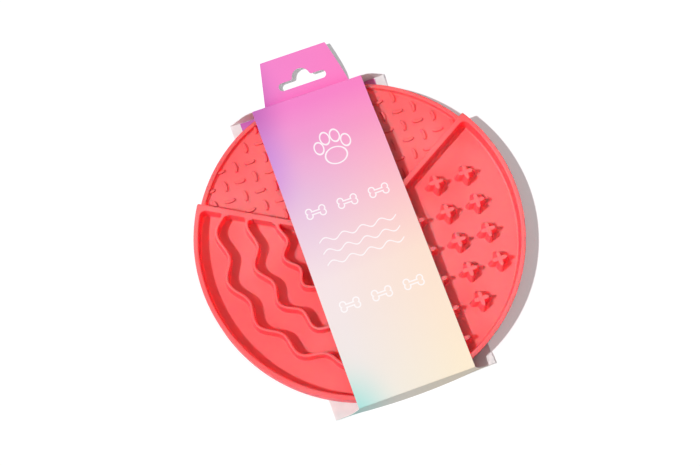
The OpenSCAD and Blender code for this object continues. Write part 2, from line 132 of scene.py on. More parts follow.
class MatSizes(bpy.types.PropertyGroup):
    """Sizes of the silicone mat's details"""

    rim_w: length("Rim width", 3.1, "Width of the high rim at its top")
    low_rim_w: length("Low rim width", 2.9, "Width of the low rim at its top")
    divider_w: length("Divider width", 3.8, "Width of a divider at its top")
    side_draft: length("Side draft", 0.5, "How far a wall's side leans out down to the floor")
    wall_lean: length("Outer lean", 0.5, "How far the outer wall leans in down to its foot")
    edge_r: length("Edge rounding", 0.8, "Rounding of the top edges of rims and dividers")
    cove_r: length("Floor fillet", 1.2, "Hollow fillet between a wall and the tray floor")
    corner_r: length("Tray corner", 3.4, "Rounding in plan where a divider meets a rim")
    centre_r: length("Tray centre corner", 2.6, "Rounding in plan where two dividers meet")
    end_r: length("Rim end rounding", 1.1, "Rounding in plan of the high rim's ends")
    skirt_w: length("Foot wall", 3.2, "Thickness of the foot wall under the rims")
    foot_bevel: length("Foot bevel", 0.6, "Bevel round the bottom of the outer wall")

    ridge_inset: length("Ridge inset", 25, "From the mat's edge in to the outermost ridge's arc")
    ridge_inner_r: length("Inner ridge", 24.2, "Radius of the innermost ridge's arc")
    ridge_drift: length("Ridge drift", 8.4, "How far the ridges' arcs open out to the left divider")
    ridge_top_w: length("Ridge top", 1.9, "Width of a ridge at its top")
    ridge_foot_w: length("Ridge foot", 2.5, "Width of a ridge just above its fillet")
    ridge_drop: length("Ridge drop", 0.3, "How far the ridges stop short of the high rim's top")
    ridge_cove_r: length("Ridge fillet", 0.6, "Hollow fillet at a ridge's foot")
    ridge_edge_r: length("Ridge rounding", 0.7, "Rounding of a ridge's top edges")
    ridge_flare: length("Ridge end flare", 2.2, "Rounding in plan where a ridge meets a divider")
    wave_amp: length("Wave swing", 3.1, "Swing of the outermost ridge to each side of its arc")
    wave_amp_step: length("Swing step", 0.1, "How much less each next ridge swings")

    stud_pitch: length("Stud pitch", 20.9, "Distance between neighbouring studs")
    stud_first_x: length("First stud column", 18.1, "From the mat's middle to the first column")
    stud_first_y: length("First stud row", 16.7, "From the mat's middle to the rearmost row")
    stud_foot_r: length("Stud foot", 7.2, "Reach of a stud's arms just above its fillet")
    stud_foot_notch: length("Foot notch", 3.3, "Depth of the notches between the arms at the foot")
    stud_top_r: length("Stud top", 5.1, "Reach of a stud's arms at its top")
    stud_top_notch: length("Top notch", 3.1, "Depth of the notches between the arms at the top")
    stud_drop: length("Stud drop", 0.3, "How far the studs stop short of the high rim's top")
    stud_cove_r: length("Stud fillet", 0.6, "Hollow fillet at a stud's foot")
    stud_edge_r: length("Stud rounding", 0.35, "Rounding of a stud's top edge")

    dash_pitch: length("Dash pitch", 10.57, "Distance between neighbouring dashes")
    dash_first_x: length("Dash offset", 1.6, "Sideways offset of the pattern from the mat's middle")
    dash_first_y: length("First dash row", 11.06, "From the mat's middle to the first row of dashes")
    dash_l: length("Dash length", 7.6, "Length of a dash from end to end")
    dash_bow: length("Dash bow", 1.0, "How far the middle of a dash bows out of line")
    dash_w: length("Dash width", 1.8, "Width of a dash")
    dash_h: length("Dash height", 1.8, "Height of a dash above the floor")
    dash_edge_r: length("Dash edge radius", 0.4, "Rounding along a dash's top edges")

    head_dent: length("Hang end dent", 3.3, "How far the sleeve presses the mat in at the hang end")
    head_dent_reach: length("Hang end reach", 55, "Half the length of that dent")
    foot_dent: length("Foot dent", 1.9, "How far the sleeve presses the mat in at the foot end")
    foot_dent_reach: length("Foot reach", 42, "Half the length of that dent")
    dent_from: length("Dent start", 90, "Distance from the mat's middle where a dent begins")

    cup_pitch: length("Cup pitch", 40, "Distance between neighbouring suction cups")
    cup_d: length("Cup diameter", 22, "Diameter of a suction cup's lip")
    cup_neck_d: length("Cup neck", 9, "Diameter of the neck under the floor")
    cup_neck_h: length("Neck height", 0.8, "Height of that neck")
    cup_lip: length("Cup lip", 0.6, "Thickness of a cup's lip")
    cup_hollow: length("Cup hollow", 1.6, "Depth of the hollow under a cup")
    cup_rings: IntProperty(
        name="Cup rings", description="Rings of cups round the middle one", default=2, min=1, max=4
    )


class SleeveSizes(bpy.types.PropertyGroup):
    """Sizes of the card sleeve's and the hanger card's details"""

    fold_r: length("Fold rounding", 0.6, "Radius of a fold at the middle of the card")
    edge_r: length("Card corner", 0.9, "Rounding of the back panel's corners")
    spine_w: length("Foot spine", 92, "Width of the foot spine above its base")
    spine_hollow: length("Spine hollow", 0.8, "How far the foot spine's sides curve in")
    spine_flare: FloatProperty(
        name="Spine flare", description="How close to its base the foot spine flares out",
        default=14, min=1, max=40,
    )
    corner_rise: length("Corner rise", 1.2, "How far the card's corners rise from the floor")
    corner_rise_run: length("Corner run", 10, "How far beyond the mat the card's corners rise")
    head_squeeze: length("Hang end squeeze", 3.5, "How far the hang end presses in on the mat")
    foot_bow: length("Foot bow", 2.1, "How far the foot end's base bows out in its middle")
    foot_bow_reach: length("Bow reach", 42, "From the middle to where the bow ends")
    foot_bow_run: length("Bow run", 26, "From the foot end to where the bow fades out")
    dip_start: length("Dip start", 3.8, "From the ends of the high rim to where the dip begins")
    dip_run: length("Dip length", 24, "Length of the stretch where the front panel bends down")
    dip_gap: length("Dip gap", 0.25, "Distance of the dip from the ends of the high rim")
    shoulder_h: length("Shoulder height", 1.4, "Height of the head spine's shoulder below its top")
    shoulder_w: length("Shoulder width", 89.4, "Width of the head spine at its shoulder")
    neck_w: length("Hanger neck", 60.6, "Width of the hanger card where it passes the slit")
    tab_l: length("Tab length", 30, "Length of the hang tab from its crease")
    tab_shift: length("Tab shift", 1.5, "From the sleeve's middle line to the hang tab's")
    tab_end_w: length("Tab end", 47.4, "Width of the hang tab at its end")
    tab_corner_r: length("Tab corner", 0.8, "Radius of the hang tab's corners")
    tab_rise: length("Tab rise", 4.8, "How far the tab's end springs up")
    tab_rise_run: length("Rise run", 8, "How far from the crease the tab does most of its rise")
    slit_gap: length("Slit gap", 0.3, "Room round the hanger card in its slit")
    hole_w: length("Hang hole width", 34, "Width of the hang hole")
    hole_h: length("Hang hole height", 5.4, "Height of the hang hole's long slot")
    hole_middle_d: length("Hang hole middle", 12.8, "Diameter of the hang hole's round middle")
    hole_middle_h: length("Middle rise", 6.2, "How far that middle stands above the slot")
    hole_fillet_r: length("Hole fillet", 1.6, "Rounding between the slot and its round middle")
    hole_from_crease: length("Hang hole place", 9.3, "From the crease to the slot's middle line")


class Finishes(bpy.types.PropertyGroup):
    """Colours of the silicone, the print and the bare card, with painted shade on the silicone's
    steep sides and on the foot spine
    """

    coral: tint("Coral", "Body colour of the silicone", 255, 95, 98)
    # Painted shade: a deeper coral mixed into the silicone on sides seen at a flat angle from the
    # eye
    coral_painted_shade: tint("Deep coral", "Silicone on sides seen at a flat angle", 236, 46, 72)
    # A paler coral that a slow random mottle mixes in, not tied to the silicone's thickness
    coral_pale: tint("Pale coral", "Silicone where it is thicker and paler", 255, 115, 117)
    warm_head: tint("Warm print, hang end", "Print on the right at the hang end", 246, 125, 194)
    warm_upper: tint("Warm print, upper", "Print on the right above the middle", 249, 180, 197)
    warm_lower: tint("Warm print, lower", "Print on the right below the middle", 250, 222, 205)
    warm_foot: tint("Warm print, foot end", "Print on the right at the foot end", 250, 233, 206)
    cool_head: tint("Cool print, hang end", "Print on the left at the hang end", 240, 127, 202)
    cool_upper: tint("Cool print, upper", "Print on the left above the middle", 228, 184, 219)
    cool_lower: tint("Cool print, lower", "Print on the left below the middle", 243, 225, 227)
    cool_foot: tint("Cool print, foot end", "Print on the left at the foot end", 236, 232, 226)
    print_violet: tint("Violet print", "Print at the hang end's left corner", 186, 92, 178)
    print_lavender: tint("Lavender print", "Print down the left side", 200, 140, 219)
    print_teal: tint("Teal print", "Print at the foot end's left corner", 150, 222, 216)
    print_motif: tint("White motif", "Line motifs on the front panel", 255, 250, 252)
    # Painted shade: greys the print on the foot spine, which faces away from the key light
    painted_spine_shade: tint("Spine shade", "Tone that greys the print on the foot spine", 120, 118, 100)
    card_bare: tint("Bare card", "Unprinted inside of the card", 236, 236, 236)
    card_edge: tint("Card edge", "Cut edges of the card", 244, 243, 241)


class StageSizes(bpy.types.PropertyGroup):
    """Camera, light and floor"""

    camera_heading: FloatProperty(
        name="Camera heading", description="Turn of the camera about Z", subtype="ANGLE",
        default=math.radians(-20.80),
    )
    camera_tilt: FloatProperty(
        name="Camera tilt", description="Tilt of the camera from straight down", subtype="ANGLE",
        default=math.radians(14.20),
    )
    camera_roll: FloatProperty(
        name="Camera roll", description="Turn of the picture about the line of sight",
        subtype="ANGLE", default=math.radians(0.92),
    )
    camera_place: FloatVectorProperty(
        name="Camera place", description="Where the camera stands", subtype="TRANSLATION",
        unit="LENGTH", default=(-0.0937, -0.2285, 0.9971),
    )
    lens: FloatProperty(
        name="Lens", description="Focal length in millimetres", default=79.14, min=10, max=300
    )
    sun_slope: FloatVectorProperty(
        name="Sun slope", description="How far light runs along X and Y for each metre down",
        size=2, default=(0.662, -0.004),
    )
    sun_strength: FloatProperty(name="Sun", description="Strength of the sun lamp", default=2.72)
    sun_size: FloatProperty(
        name="Sun size", description="Angle over which the sun's light spreads", subtype="ANGLE",
        default=math.radians(1.6),
    )
    sky_strength: FloatProperty(name="Sky", description="Strength of the soft light", default=0.29)
    floor_size: FloatProperty(
        name="Floor size", description="Side of the floor", default=6, unit="LENGTH"
    )
    floor_tint: tint("Floor", "Colour of the pale floor", 236, 236, 237)


class PieceMesh:
    """Collects the corners and faces of one piece, a loft or fill at a time."""

    def __init__(self):
        self.points = []
        self.faces = []
        self.slots = []

    def ring(self, points):
        """Adds a row of corners and returns their numbers."""
        first = len(self.points)
        self.points.extend(tuple(float(c) for c in p) for p in points)
        return list(range(first, len(self.points)))

    def face(self, corners, slot=0):
        """Adds one face with the number of its material."""
        self.faces.append(tuple(corners))
        self.slots.append(slot)

    def bridge(self, one, other, closed=True, slot=0):
        """Joins two rows with the same number of corners by a strip of quads."""
        count = len(one)
        for k in range(count if closed else count - 1):
            n = (k + 1) % count
            self.face((one[k], one[n], other[n], other[k]), slot)

    def loft(self, rows, closed=True, slot=0):
        """Adds rows of points and joins each to the next; returns the rows' corner numbers."""
        rings = [self.ring(row) for row in rows]
        for one, other in zip(rings, rings[1:]):
            self.bridge(one, other, closed, slot)
        return rings

    def fill(self, *loops, slot=0):
        """Fills the flat space inside the first loop and outside the others."""
        corners = [k for loop in loops for k in loop]
        outlines = [[Vector(self.points[k]) for k in loop] for loop in loops]
        for triangle in tessellate_polygon(outlines):
            self.face([corners[k] for k in triangle], slot)

    def fan(self, loop, point, slot=0):
        """Closes a loop with triangles that meet in one point."""
        middle = self.ring([point])[0]
        for k, n in zip(loop, loop[1:] + loop[:1]):
            self.face((k, n, middle), slot)


def finish_piece(name, piece, materials, nodes, body=None, change=None):
    """Makes the object: a clean closed mesh, smooth but for its sharp edges, on its CAD body."""
    mesh = bpy.data.meshes.new(name)
    mesh.from_pydata(piece.points, [], piece.faces)
    mesh.polygons.foreach_set("material_index", piece.slots)
    for material in materials:
        mesh.materials.append(material)
    clean_mesh(mesh, change)
    obj = bpy.data.objects.new(name, mesh)
    bpy.context.scene.collection.objects.link(obj)
    weighted = obj.modifiers.new("Even shading", "WEIGHTED_NORMAL")
    weighted.keep_sharp = True
    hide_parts(*nodes)
    if body:
        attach(obj, body)
    return obj


def clean_mesh(mesh, change=None):
    """Merges corners that lie on each other, turns all faces outwards and marks sharp edges."""
    shape = bmesh.new()
    shape.from_mesh(mesh)
    bmesh.ops.remove_doubles(shape, verts=shape.verts, dist=MERGE)
    bmesh.ops.dissolve_degenerate(shape, edges=shape.edges, dist=MERGE)
    bmesh.ops.recalc_face_normals(shape, faces=shape.faces)
    if change:
        change(shape)
    shape.to_mesh(mesh)
    shape.free()
    mesh.shade_smooth()
    mesh.set_sharp_from_angle(angle=math.radians(SMOOTH_DEG))


def squeezed(sizes):
    """A change to a mesh of the soft mat: the sleeve's two spines press its rim in."""
    def change(shape):
        for point in shape.verts:
            x, y, z = point.co
            depth, reach = (
                (sizes.head_dent, sizes.head_dent_reach) if y > 0
                else (sizes.foot_dent, sizes.foot_dent_reach)
            )
            along = max(1 - (x / reach) ** 2, 0) ** 2
            outward = min(max((abs(y) - sizes.dent_from) / (LOW_RIM_R - sizes.dent_from), 0), 1)
            point.co.y = y - math.copysign(depth * along * outward, y)

    return change


def unit(degrees):
    """The unit vector in that direction in plan."""
    angle = math.radians(degrees)
    return np.array((math.cos(angle), math.sin(angle)))


def arc(centre, radius, from_deg, to_deg, steps, hollow=False):
    """Points of an arc, each with its outward normal; a hollow arc bulges inwards."""
    row = []
    for k in range(steps + 1):
        normal = unit(from_deg + (to_deg - from_deg) * k / steps)
        row.append((np.asarray(centre) + (-radius if hollow else radius) * normal, normal))
    return row


# Parts of the arcs that make up the walls' outlines in plan
CENTRE_STEPS, CORNER_STEPS, TRAY_RIM_STEPS = 6, 9, 72
RIM_END_STEPS, OUTER_RIM_STEPS, HOLLOW_STEPS = 7, 150, 8


def tray_loop(start_deg, half_wall, rim_r, corner_r, centre_r):
    """Outline of a tray between the dividers at start_deg and the next, at the foot of its walls.

    It runs counterclockwise: rounded corner at the mat's middle, corner, rim, corner.
    """
    end_deg = start_deg + TRAY_TURN
    off = half_wall + corner_r
    along = math.sqrt((rim_r - corner_r) ** 2 - off ** 2)
    turn = math.degrees(math.atan2(off, along))
    tip = unit(start_deg + TRAY_TURN / 2) * (half_wall + centre_r) / HALF_TRAY_SIN
    first = along * unit(start_deg) + off * unit(start_deg + 90)
    last = along * unit(end_deg) + off * unit(end_deg - 90)
    return (
        arc(tip, centre_r, end_deg + 90, start_deg - 90 + FULL_TURN, CENTRE_STEPS)
        + arc(first, corner_r, start_deg - 90, start_deg + turn, CORNER_STEPS)
        + arc((0, 0), rim_r, start_deg + turn, end_deg - turn, TRAY_RIM_STEPS)[1:-1]
        + arc(last, corner_r, end_deg - turn, end_deg + 90, CORNER_STEPS)
    )


def shifted(loop, offset, z):
    """The loop's points, moved outwards by offset, at the height z."""
    return [(*(point + offset * normal), z) for point, normal in loop]


# Rows round a wall's rounded edge or fillet, and round those of ridges and studs
WALL_STEPS, FINE_STEPS = 5, 4
# Where the flat top of a wall has its first row, in parts of the rounding beside it
TOP_MARGIN = 1.15


def quarter(steps=WALL_STEPS):
    """Sines and cosines of a quarter turn, in equal steps."""
    return [
        (math.sin(math.pi / 2 * k / steps), math.cos(math.pi / 2 * k / steps))
        for k in range(steps + 1)
    ]


def wall_profile(draft, edge_r, cove_r, top_z):
    """Offset outwards from a tray's outline and height, from a wall's flat top to the floor."""
    rounding = [(draft + edge_r - edge_r * s, top_z - edge_r + edge_r * c) for s, c in quarter()]
    fillet = [(-cove_r * (1 - c), FLOOR_Z + cove_r * (1 - s)) for s, c in quarter()]
    lead = [(draft + edge_r * TOP_MARGIN, top_z)]
    return lead + rounding + fillet + [(-cove_r, WALL_END_Z)]


def build_tray_walls(sizes, materials):
    """The two high rims and the three dividers as one wall, with rounded corners and fillets."""
    piece = PieceMesh()
    draft, edge_r, cove_r = sizes.side_draft, sizes.edge_r, sizes.cove_r
    half_wall = sizes.divider_w / 2 + draft
    rim_r = MAT_R - sizes.rim_w - draft

    tops, ends = [], []
    for start_deg in (LEFT_DEG, FRONT_DEG):
        loop = tray_loop(start_deg, half_wall, rim_r, sizes.corner_r, sizes.centre_r)
        rows = [shifted(loop, o, z) for o, z in wall_profile(draft, edge_r, cove_r, RIM_Z)]
        rings = piece.loft(rows)
        tops.append(rings[0])
        ends.append(rings[-1])

    rows = outer_wall_rows(sizes)
    rings = piece.loft(rows)
    piece.fill(rings[0], *tops)
    piece.fill(rings[-1], *ends)
    nodes = ("wave_side_rim", "stud_side_rim", "left_divider", "right_divider", "front_divider")
    return finish_piece(
        "tray_walls", piece, materials, nodes, MAT_BODY, squeezed(sizes)
    )


def outer_wall_loop(sizes):
    """Outline of the high walls in plan, each point with its normal and whether it is outer wall.

    It runs round the high rims, then in along the right divider and out along the left one.
    """
    half_wall = sizes.divider_w / 2
    off = half_wall - sizes.end_r
    along = math.sqrt((MAT_R - sizes.end_r) ** 2 - off ** 2)
    turn = math.degrees(math.atan2(off, along))
    left_end = along * unit(LEFT_DEG) + off * unit(LEFT_DEG - 90)
    right_end = along * unit(RIGHT_DEG) + off * unit(RIGHT_DEG + 90)
    hollow_r = sizes.centre_r + sizes.side_draft
    middle = unit(90) * (half_wall + hollow_r) / HALF_TRAY_SIN
    skirt_r = MAT_R - sizes.wall_lean - sizes.skirt_w

    def on_face(deg, side, reach):
        return (reach * unit(deg) + half_wall * unit(deg + side), unit(deg + side))

    left_face = [on_face(LEFT_DEG, -90, skirt_r - MM), on_face(LEFT_DEG, -90, skirt_r + MM)]
    right_face = [on_face(RIGHT_DEG, 90, skirt_r + MM), on_face(RIGHT_DEG, 90, skirt_r - MM)]
    outer = (
        left_face[1:]
        + arc(left_end, sizes.end_r, LEFT_DEG - 90, LEFT_DEG - turn, RIM_END_STEPS)
        + arc((0, 0), MAT_R, LEFT_DEG - turn, FULL_TURN + RIGHT_DEG + turn, OUTER_RIM_STEPS)[1:-1]
        + arc(right_end, sizes.end_r, RIGHT_DEG + turn, RIGHT_DEG + 90, RIM_END_STEPS)
        + right_face[:1]
    )
    inner = (
        right_face[1:]
        + arc(middle, hollow_r, RIGHT_DEG + 90, LEFT_DEG - 90, HOLLOW_STEPS, hollow=True)
        + left_face[:1]
    )
    return [(p, n, True) for p, n in outer] + [(p, n, False) for p, n in inner]


def outer_wall_rows(sizes):
    """Rows of the high walls' outside, from their flat top down.

    The outer wall runs on down to the foot and back up inside it; a divider's side ends in a
    fillet on the tray floor.
    """
    loop = outer_wall_loop(sizes)
    edge_r, cove_r, draft = sizes.edge_r, sizes.cove_r, sizes.side_draft
    lean = sizes.wall_lean / (RIM_Z - FOOT_Z)
    skirt_r = MAT_R - sizes.wall_lean - sizes.skirt_w
    rows = []

    def row(outer, inner):
        rows.append([
            (*(point + (outer[0] if is_outer else inner[0]) * normal),
             outer[1] if is_outer else inner[1])
            for point, normal, is_outer in loop
        ])

    row((-edge_r * TOP_MARGIN, RIM_Z), (-edge_r * TOP_MARGIN, RIM_Z))
    for s, c in quarter():
        place = (-edge_r + edge_r * s, RIM_Z - edge_r + edge_r * c)
        row(place, place)
    for s, c in quarter():
        z = FLOOR_Z + cove_r * (1 - s)
        row((-lean * (RIM_Z - z), z), (draft + cove_r * (1 - c), z))
    end = (draft + cove_r, WALL_END_Z)
    row((-lean * (RIM_Z - WALL_END_Z), WALL_END_Z), end)
    row((-sizes.wall_lean, FOOT_Z + sizes.foot_bevel), end)
    row((-sizes.wall_lean - sizes.foot_bevel, FOOT_Z), end)
    for z in (FOOT_Z, WALL_END_Z):
        rows.append([
            (*(point * min(1, skirt_r / np.linalg.norm(point)) if is_outer
               else point + end[0] * normal), z if is_outer else end[1])
            for point, normal, is_outer in loop
        ])
    return rows


# How far in the low rim's foot wall ends from the high rim's, so that no two faces coincide
SKIRT_INSET = 0.02 * MM
# Sections of the low rim beside a divider in degrees from it, and its even ones between
RIM_CORNER_DEG = (0, 0.8, 1.6, 1.9, 2.2, 2.5, 2.8, 3.1, 3.4, 3.8, 4.4)
EVEN_FROM_DEG, EVEN_SECTIONS = 6, 46


def build_low_rim(sizes, materials):
    """The low rim with its foot wall, widened in plan where it meets the dividers."""
    piece = PieceMesh()
    edge_r, cove_r = sizes.edge_r, sizes.cove_r
    draft = sizes.side_draft * (LOW_RIM_Z - FLOOR_Z) / (RIM_Z - FLOOR_Z)
    lean = sizes.wall_lean / (RIM_Z - FOOT_Z)
    foot_r = LOW_RIM_R - lean * (LOW_RIM_Z - FOOT_Z)
    top_in_r = LOW_RIM_R - sizes.low_rim_w
    skirt_r = MAT_R - sizes.wall_lean - sizes.skirt_w - SKIRT_INSET
    rows = []
    for angle in low_rim_angles():
        widen = corner_widening(sizes, angle, top_in_r)
        inner_r = top_in_r - widen
        section = [(inner_r - draft - cove_r, WALL_END_Z)]
        section += [(inner_r - draft - cove_r * (1 - s), FLOOR_Z + cove_r * (1 - c))
                    for s, c in quarter()]
        section += [(inner_r + edge_r - edge_r * c, LOW_RIM_Z - edge_r + edge_r * s)
                    for s, c in quarter()]
        section += [(LOW_RIM_R - edge_r + edge_r * s, LOW_RIM_Z - edge_r + edge_r * c)
                    for s, c in quarter()]
        section += [
            (foot_r, FOOT_Z + sizes.foot_bevel), (foot_r - sizes.foot_bevel, FOOT_Z),
            (skirt_r, FOOT_Z), (skirt_r, WALL_END_Z),
        ]
        rows.append([(*(r * unit(angle)), z) for r, z in section])
    rings = piece.loft(rows)
    piece.fill(rings[0])
    piece.fill(rings[-1])
    nodes = ("dash_side_rim",)
    return finish_piece("low_rim", piece, materials, nodes, MAT_BODY, squeezed(sizes))


def low_rim_angles():
    """Directions from the right divider to the left one, closer together near both."""
    near = [RIGHT_DEG + step for step in RIM_CORNER_DEG]
    even = np.linspace(EVEN_FROM_DEG, TRAY_TURN - EVEN_FROM_DEG, EVEN_SECTIONS)
    middle = [RIGHT_DEG + step for step in even]
    far = [LEFT_DEG + RIGHT_DEG - angle for angle in reversed(near)]
    return near + middle + far


def corner_widening(sizes, angle, radius):
    """How much a rim widens inwards beside a divider, so that the tray's corner is round."""
    from_divider = min(angle - RIGHT_DEG, LEFT_DEG - angle)
    gap = radius * math.sin(math.radians(from_divider)) - sizes.divider_w / 2 - sizes.side_draft
    gap = min(max(gap, 0), sizes.corner_r)
    return sizes.corner_r - math.sqrt(sizes.corner_r ** 2 - (sizes.corner_r - gap) ** 2)


# The floor's rings and sides, how far it runs in under the walls' feet, and its uneven height
FLOOR_RINGS, FLOOR_SIDES = 22, 96
FLOOR_TUCK = 0.05 * MM
FLOOR_WAVE, FLOOR_WAVE_FADE = 0.04 * MM, 4 * MM
# The swell's waves along X and Y in radians to the metre, and the slow bend of the ones along X
SWELL_X, SWELL_Y, SWELL_START_Y = 190, 170, 0.8
SWELL_BEND, SWELL_BEND_Y = 1.3, 150


def floor_wave(x, y):
    """A slow, uneven swell from -1 to 1."""
    bend = SWELL_BEND * math.sin(y * SWELL_BEND_Y)
    return math.sin(x * SWELL_X + bend) * math.sin(y * SWELL_Y + SWELL_START_Y)


def build_tray_floor(sizes, materials):
    """The floor plate under all three trays, faintly uneven as a soft moulding is."""
    piece = PieceMesh()
    edge = MAT_R - sizes.wall_lean - sizes.skirt_w + FLOOR_TUCK
    rings = [edge * (k / FLOOR_RINGS) for k in range(FLOOR_RINGS, 0, -1)]
    turn = [FULL_TURN * k / FLOOR_SIDES for k in range(FLOOR_SIDES)]

    def circle(radius, z):
        return [(*(radius * unit(deg)), z) for deg in turn]

    def floor_z(radius, deg):
        wave = floor_wave(*(radius * unit(deg)))
        share = min(1, (edge - radius) / FLOOR_WAVE_FADE)
        return FLOOR_Z - FLOOR_WAVE + FLOOR_WAVE * wave * share

    rows = [circle(edge, UNDER_Z), circle(edge, FLOOR_Z - FLOOR_WAVE)]
    rows += [[(*(r * unit(deg)), floor_z(r, deg)) for deg in turn] for r in rings[1:]]
    rings = piece.loft(rows)
    piece.fan(rings[-1], (0, 0, floor_z(0, 0)))
    piece.fan(rings[0], (0, 0, UNDER_Z))
    nodes = ("mat_floor",)
    return finish_piece(
        "tray_floor", piece, materials, nodes, MAT_BODY, squeezed(sizes)
    )


# Length of one wave in degrees and a crest's direction, for the ridges from the outermost in
WAVE_DEGREES = (21.6, 23.6, 25.4, 36)
CREST_DEGREES = (159.3, 154.5, 151.7, 160)
# Distance between neighbouring sections of a ridge, and how many times closer they are at its ends
RIDGE_STEP, END_CLOSENESS = 0.7 * MM, 3
# Points at which a ridge's middle line is worked out before its sections are spaced along it
LINE_SAMPLES = 1500
# How far a ridge runs into a divider, in parts of the divider's width
RIDGE_OVERLAP = 1 / 3
# Length with closer sections at a ridge's end, in flares
END_LENGTH = 1.5


def ridge_line(sizes, number):
    """Middle line of a ridge between its two dividers, its points closer together near both."""
    outer_r = MAT_R - sizes.ridge_inset
    arc_r = outer_r - number * (outer_r - sizes.ridge_inner_r) / (len(WAVE_DEGREES) - 1)
    swing = sizes.wave_amp - number * sizes.wave_amp_step
    line = []
    for deg in np.linspace(LEFT_DEG, FRONT_DEG, LINE_SAMPLES):
        phase = math.radians(FULL_TURN * (deg - CREST_DEGREES[number]) / WAVE_DEGREES[number])
        drift = sizes.ridge_drift * ((FRONT_DEG - deg) / TRAY_TURN) ** 2
        point = (arc_r + drift + swing * math.cos(phase)) * unit(deg)
        if divider_gap(sizes, point) > -sizes.divider_w * RIDGE_OVERLAP:
            line.append(point)
    steps = np.linalg.norm(np.diff(line, axis=0), axis=1)
    run = np.concatenate(([0], np.cumsum(steps)))
    near = END_LENGTH * sizes.ridge_flare
    ends = np.arange(0, near, RIDGE_STEP / END_CLOSENESS)
    middle = np.linspace(near, run[-1] - near, int(run[-1] / RIDGE_STEP))
    places = np.concatenate((ends, middle, run[-1] - ends[::-1]))
    x, y = np.array(line).T
    return np.column_stack((np.interp(places, run, x), np.interp(places, run, y)))


def divider_gap(sizes, point):
    """Distance of a point in the wavy tray from the side of the nearer divider."""
    from_left = point @ unit(LEFT_DEG + 90)
    from_front = point @ unit(FRONT_DEG - 90)
    return min(from_left, from_front) - sizes.divider_w / 2 - sizes.side_draft / 2


def end_flare(sizes, point):
    """How far a ridge's side stands out near a divider, so that the two meet in a round corner."""
    gap = min(max(divider_gap(sizes, point), 0), sizes.ridge_flare)
    return sizes.ridge_flare - math.sqrt(sizes.ridge_flare ** 2 - (sizes.ridge_flare - gap) ** 2)


def build_ridge(sizes, materials, number):
    """One wavy ridge, with a rounded top, a fillet at its foot and flared ends."""
    piece = PieceMesh()
    line = ridge_line(sizes, number)
    top_z = RIM_Z - sizes.ridge_drop
    half_top, half_foot = sizes.ridge_top_w / 2, sizes.ridge_foot_w / 2
    cove_r, edge_r = sizes.ridge_cove_r, sizes.ridge_edge_r
    side = [(half_foot + cove_r, FLOOR_Z - SINK)]
    side += [(half_foot + cove_r * (1 - s), FLOOR_Z + cove_r * (1 - c))
             for s, c in quarter(FINE_STEPS)]
    side += [(half_top - edge_r + edge_r * c, top_z - edge_r + edge_r * s) for s, c in quarter()]
    rows = []
    for k, point in enumerate(line):
        ahead = line[min(k + 1, len(line) - 1)] - line[max(k - 1, 0)]
        across = np.array((ahead[1], -ahead[0])) / np.linalg.norm(ahead)
        row = []
        for way, half in ((across, side), (-across, side[::-1])):
            flare = end_flare(sizes, point + half_foot * way)
            row += [(*(point + (w + flare) * way), z) for w, z in half]
        rows.append(row)
    rings = piece.loft(rows)
    piece.fill(rings[0])
    piece.fill(rings[-1])
    node = f"wave_ridge_{number + 1}"
    return finish_piece(f"ridge_{number + 1}", piece, materials, (node,), MAT_BODY)


# The most rows and columns of studs that are tried, and the corners round one stud
STUD_ROWS, STUD_COLUMNS = 6, 4
STUD_SIDES, STUD_ARMS = 48, 4
# Room between a stud and a wall, and how much less of it the right divider needs
STUD_WALL_GAP, STUD_GAP_GRACE = 0.6 * MM, 0.1 * MM
# Rows up a stud's straight flank, in parts of its height
FLANK_ROWS = (0.33, 0.67)


def stud_places(sizes):
    """Middles of the studs that stand clear of the rim and the right divider."""
    foot = sizes.stud_foot_r + sizes.side_draft
    reach = MAT_R - sizes.rim_w - sizes.side_draft - sizes.cove_r
    places = []
    for column in range(STUD_COLUMNS):
        for row in range(STUD_ROWS):
            place = np.array((
                sizes.stud_first_x + column * sizes.stud_pitch,
                sizes.stud_first_y - row * sizes.stud_pitch,
            ))
            gap = place @ unit(RIGHT_DEG - 90) - sizes.divider_w / 2 - sizes.side_draft
            in_rim = np.linalg.norm(place) < reach - STUD_WALL_GAP - sizes.stud_foot_notch
            if in_rim and gap > foot + STUD_WALL_GAP - STUD_GAP_GRACE:
                places.append(place)
    return places


def build_studs(sizes, materials):
    """The four-armed studs, with straight flanks, fillets at the foot and rounded tops."""
    piece = PieceMesh()
    top_z = RIM_Z - sizes.stud_drop
    cove_r, edge_r = sizes.stud_cove_r, sizes.stud_edge_r
    foot, foot_notch = sizes.stud_foot_r, sizes.stud_foot_notch
    top, top_notch = sizes.stud_top_r, sizes.stud_top_notch
    levels = [(foot + cove_r, foot_notch, FLOOR_Z - SINK)]
    levels += [(foot + cove_r * (1 - s), foot_notch, FLOOR_Z + cove_r * (1 - c))
               for s, c in quarter(FINE_STEPS)]
    levels += [(foot + (top - foot) * t, foot_notch + (top_notch - foot_notch) * t,
                FLOOR_Z + cove_r + (top_z - edge_r - FLOOR_Z - cove_r) * t)
               for t in FLANK_ROWS]
    levels += [(top - edge_r + edge_r * c, top_notch, top_z - edge_r + edge_r * s)
               for s, c in quarter(FINE_STEPS)]
    turns = [FULL_TURN * k / STUD_SIDES for k in range(STUD_SIDES)]
    for place in stud_places(sizes):
        rows = []
        for reach, notch, z in levels:
            rows.append([
                (*(place + (reach - notch * arm_dip(deg)) * unit(deg)), z) for deg in turns
            ])
        rings = piece.loft(rows)
        piece.fan(rings[-1], (*place, top_z))
        piece.fan(rings[0], (*place, FLOOR_Z - SINK))
    return finish_piece("studs", piece, materials, ("cross_studs",), MAT_BODY)


def arm_dip(degrees):
    """0 along a stud's four arms and 1 halfway between them."""
    return (1 - math.cos(math.radians(STUD_ARMS * degrees))) / 2


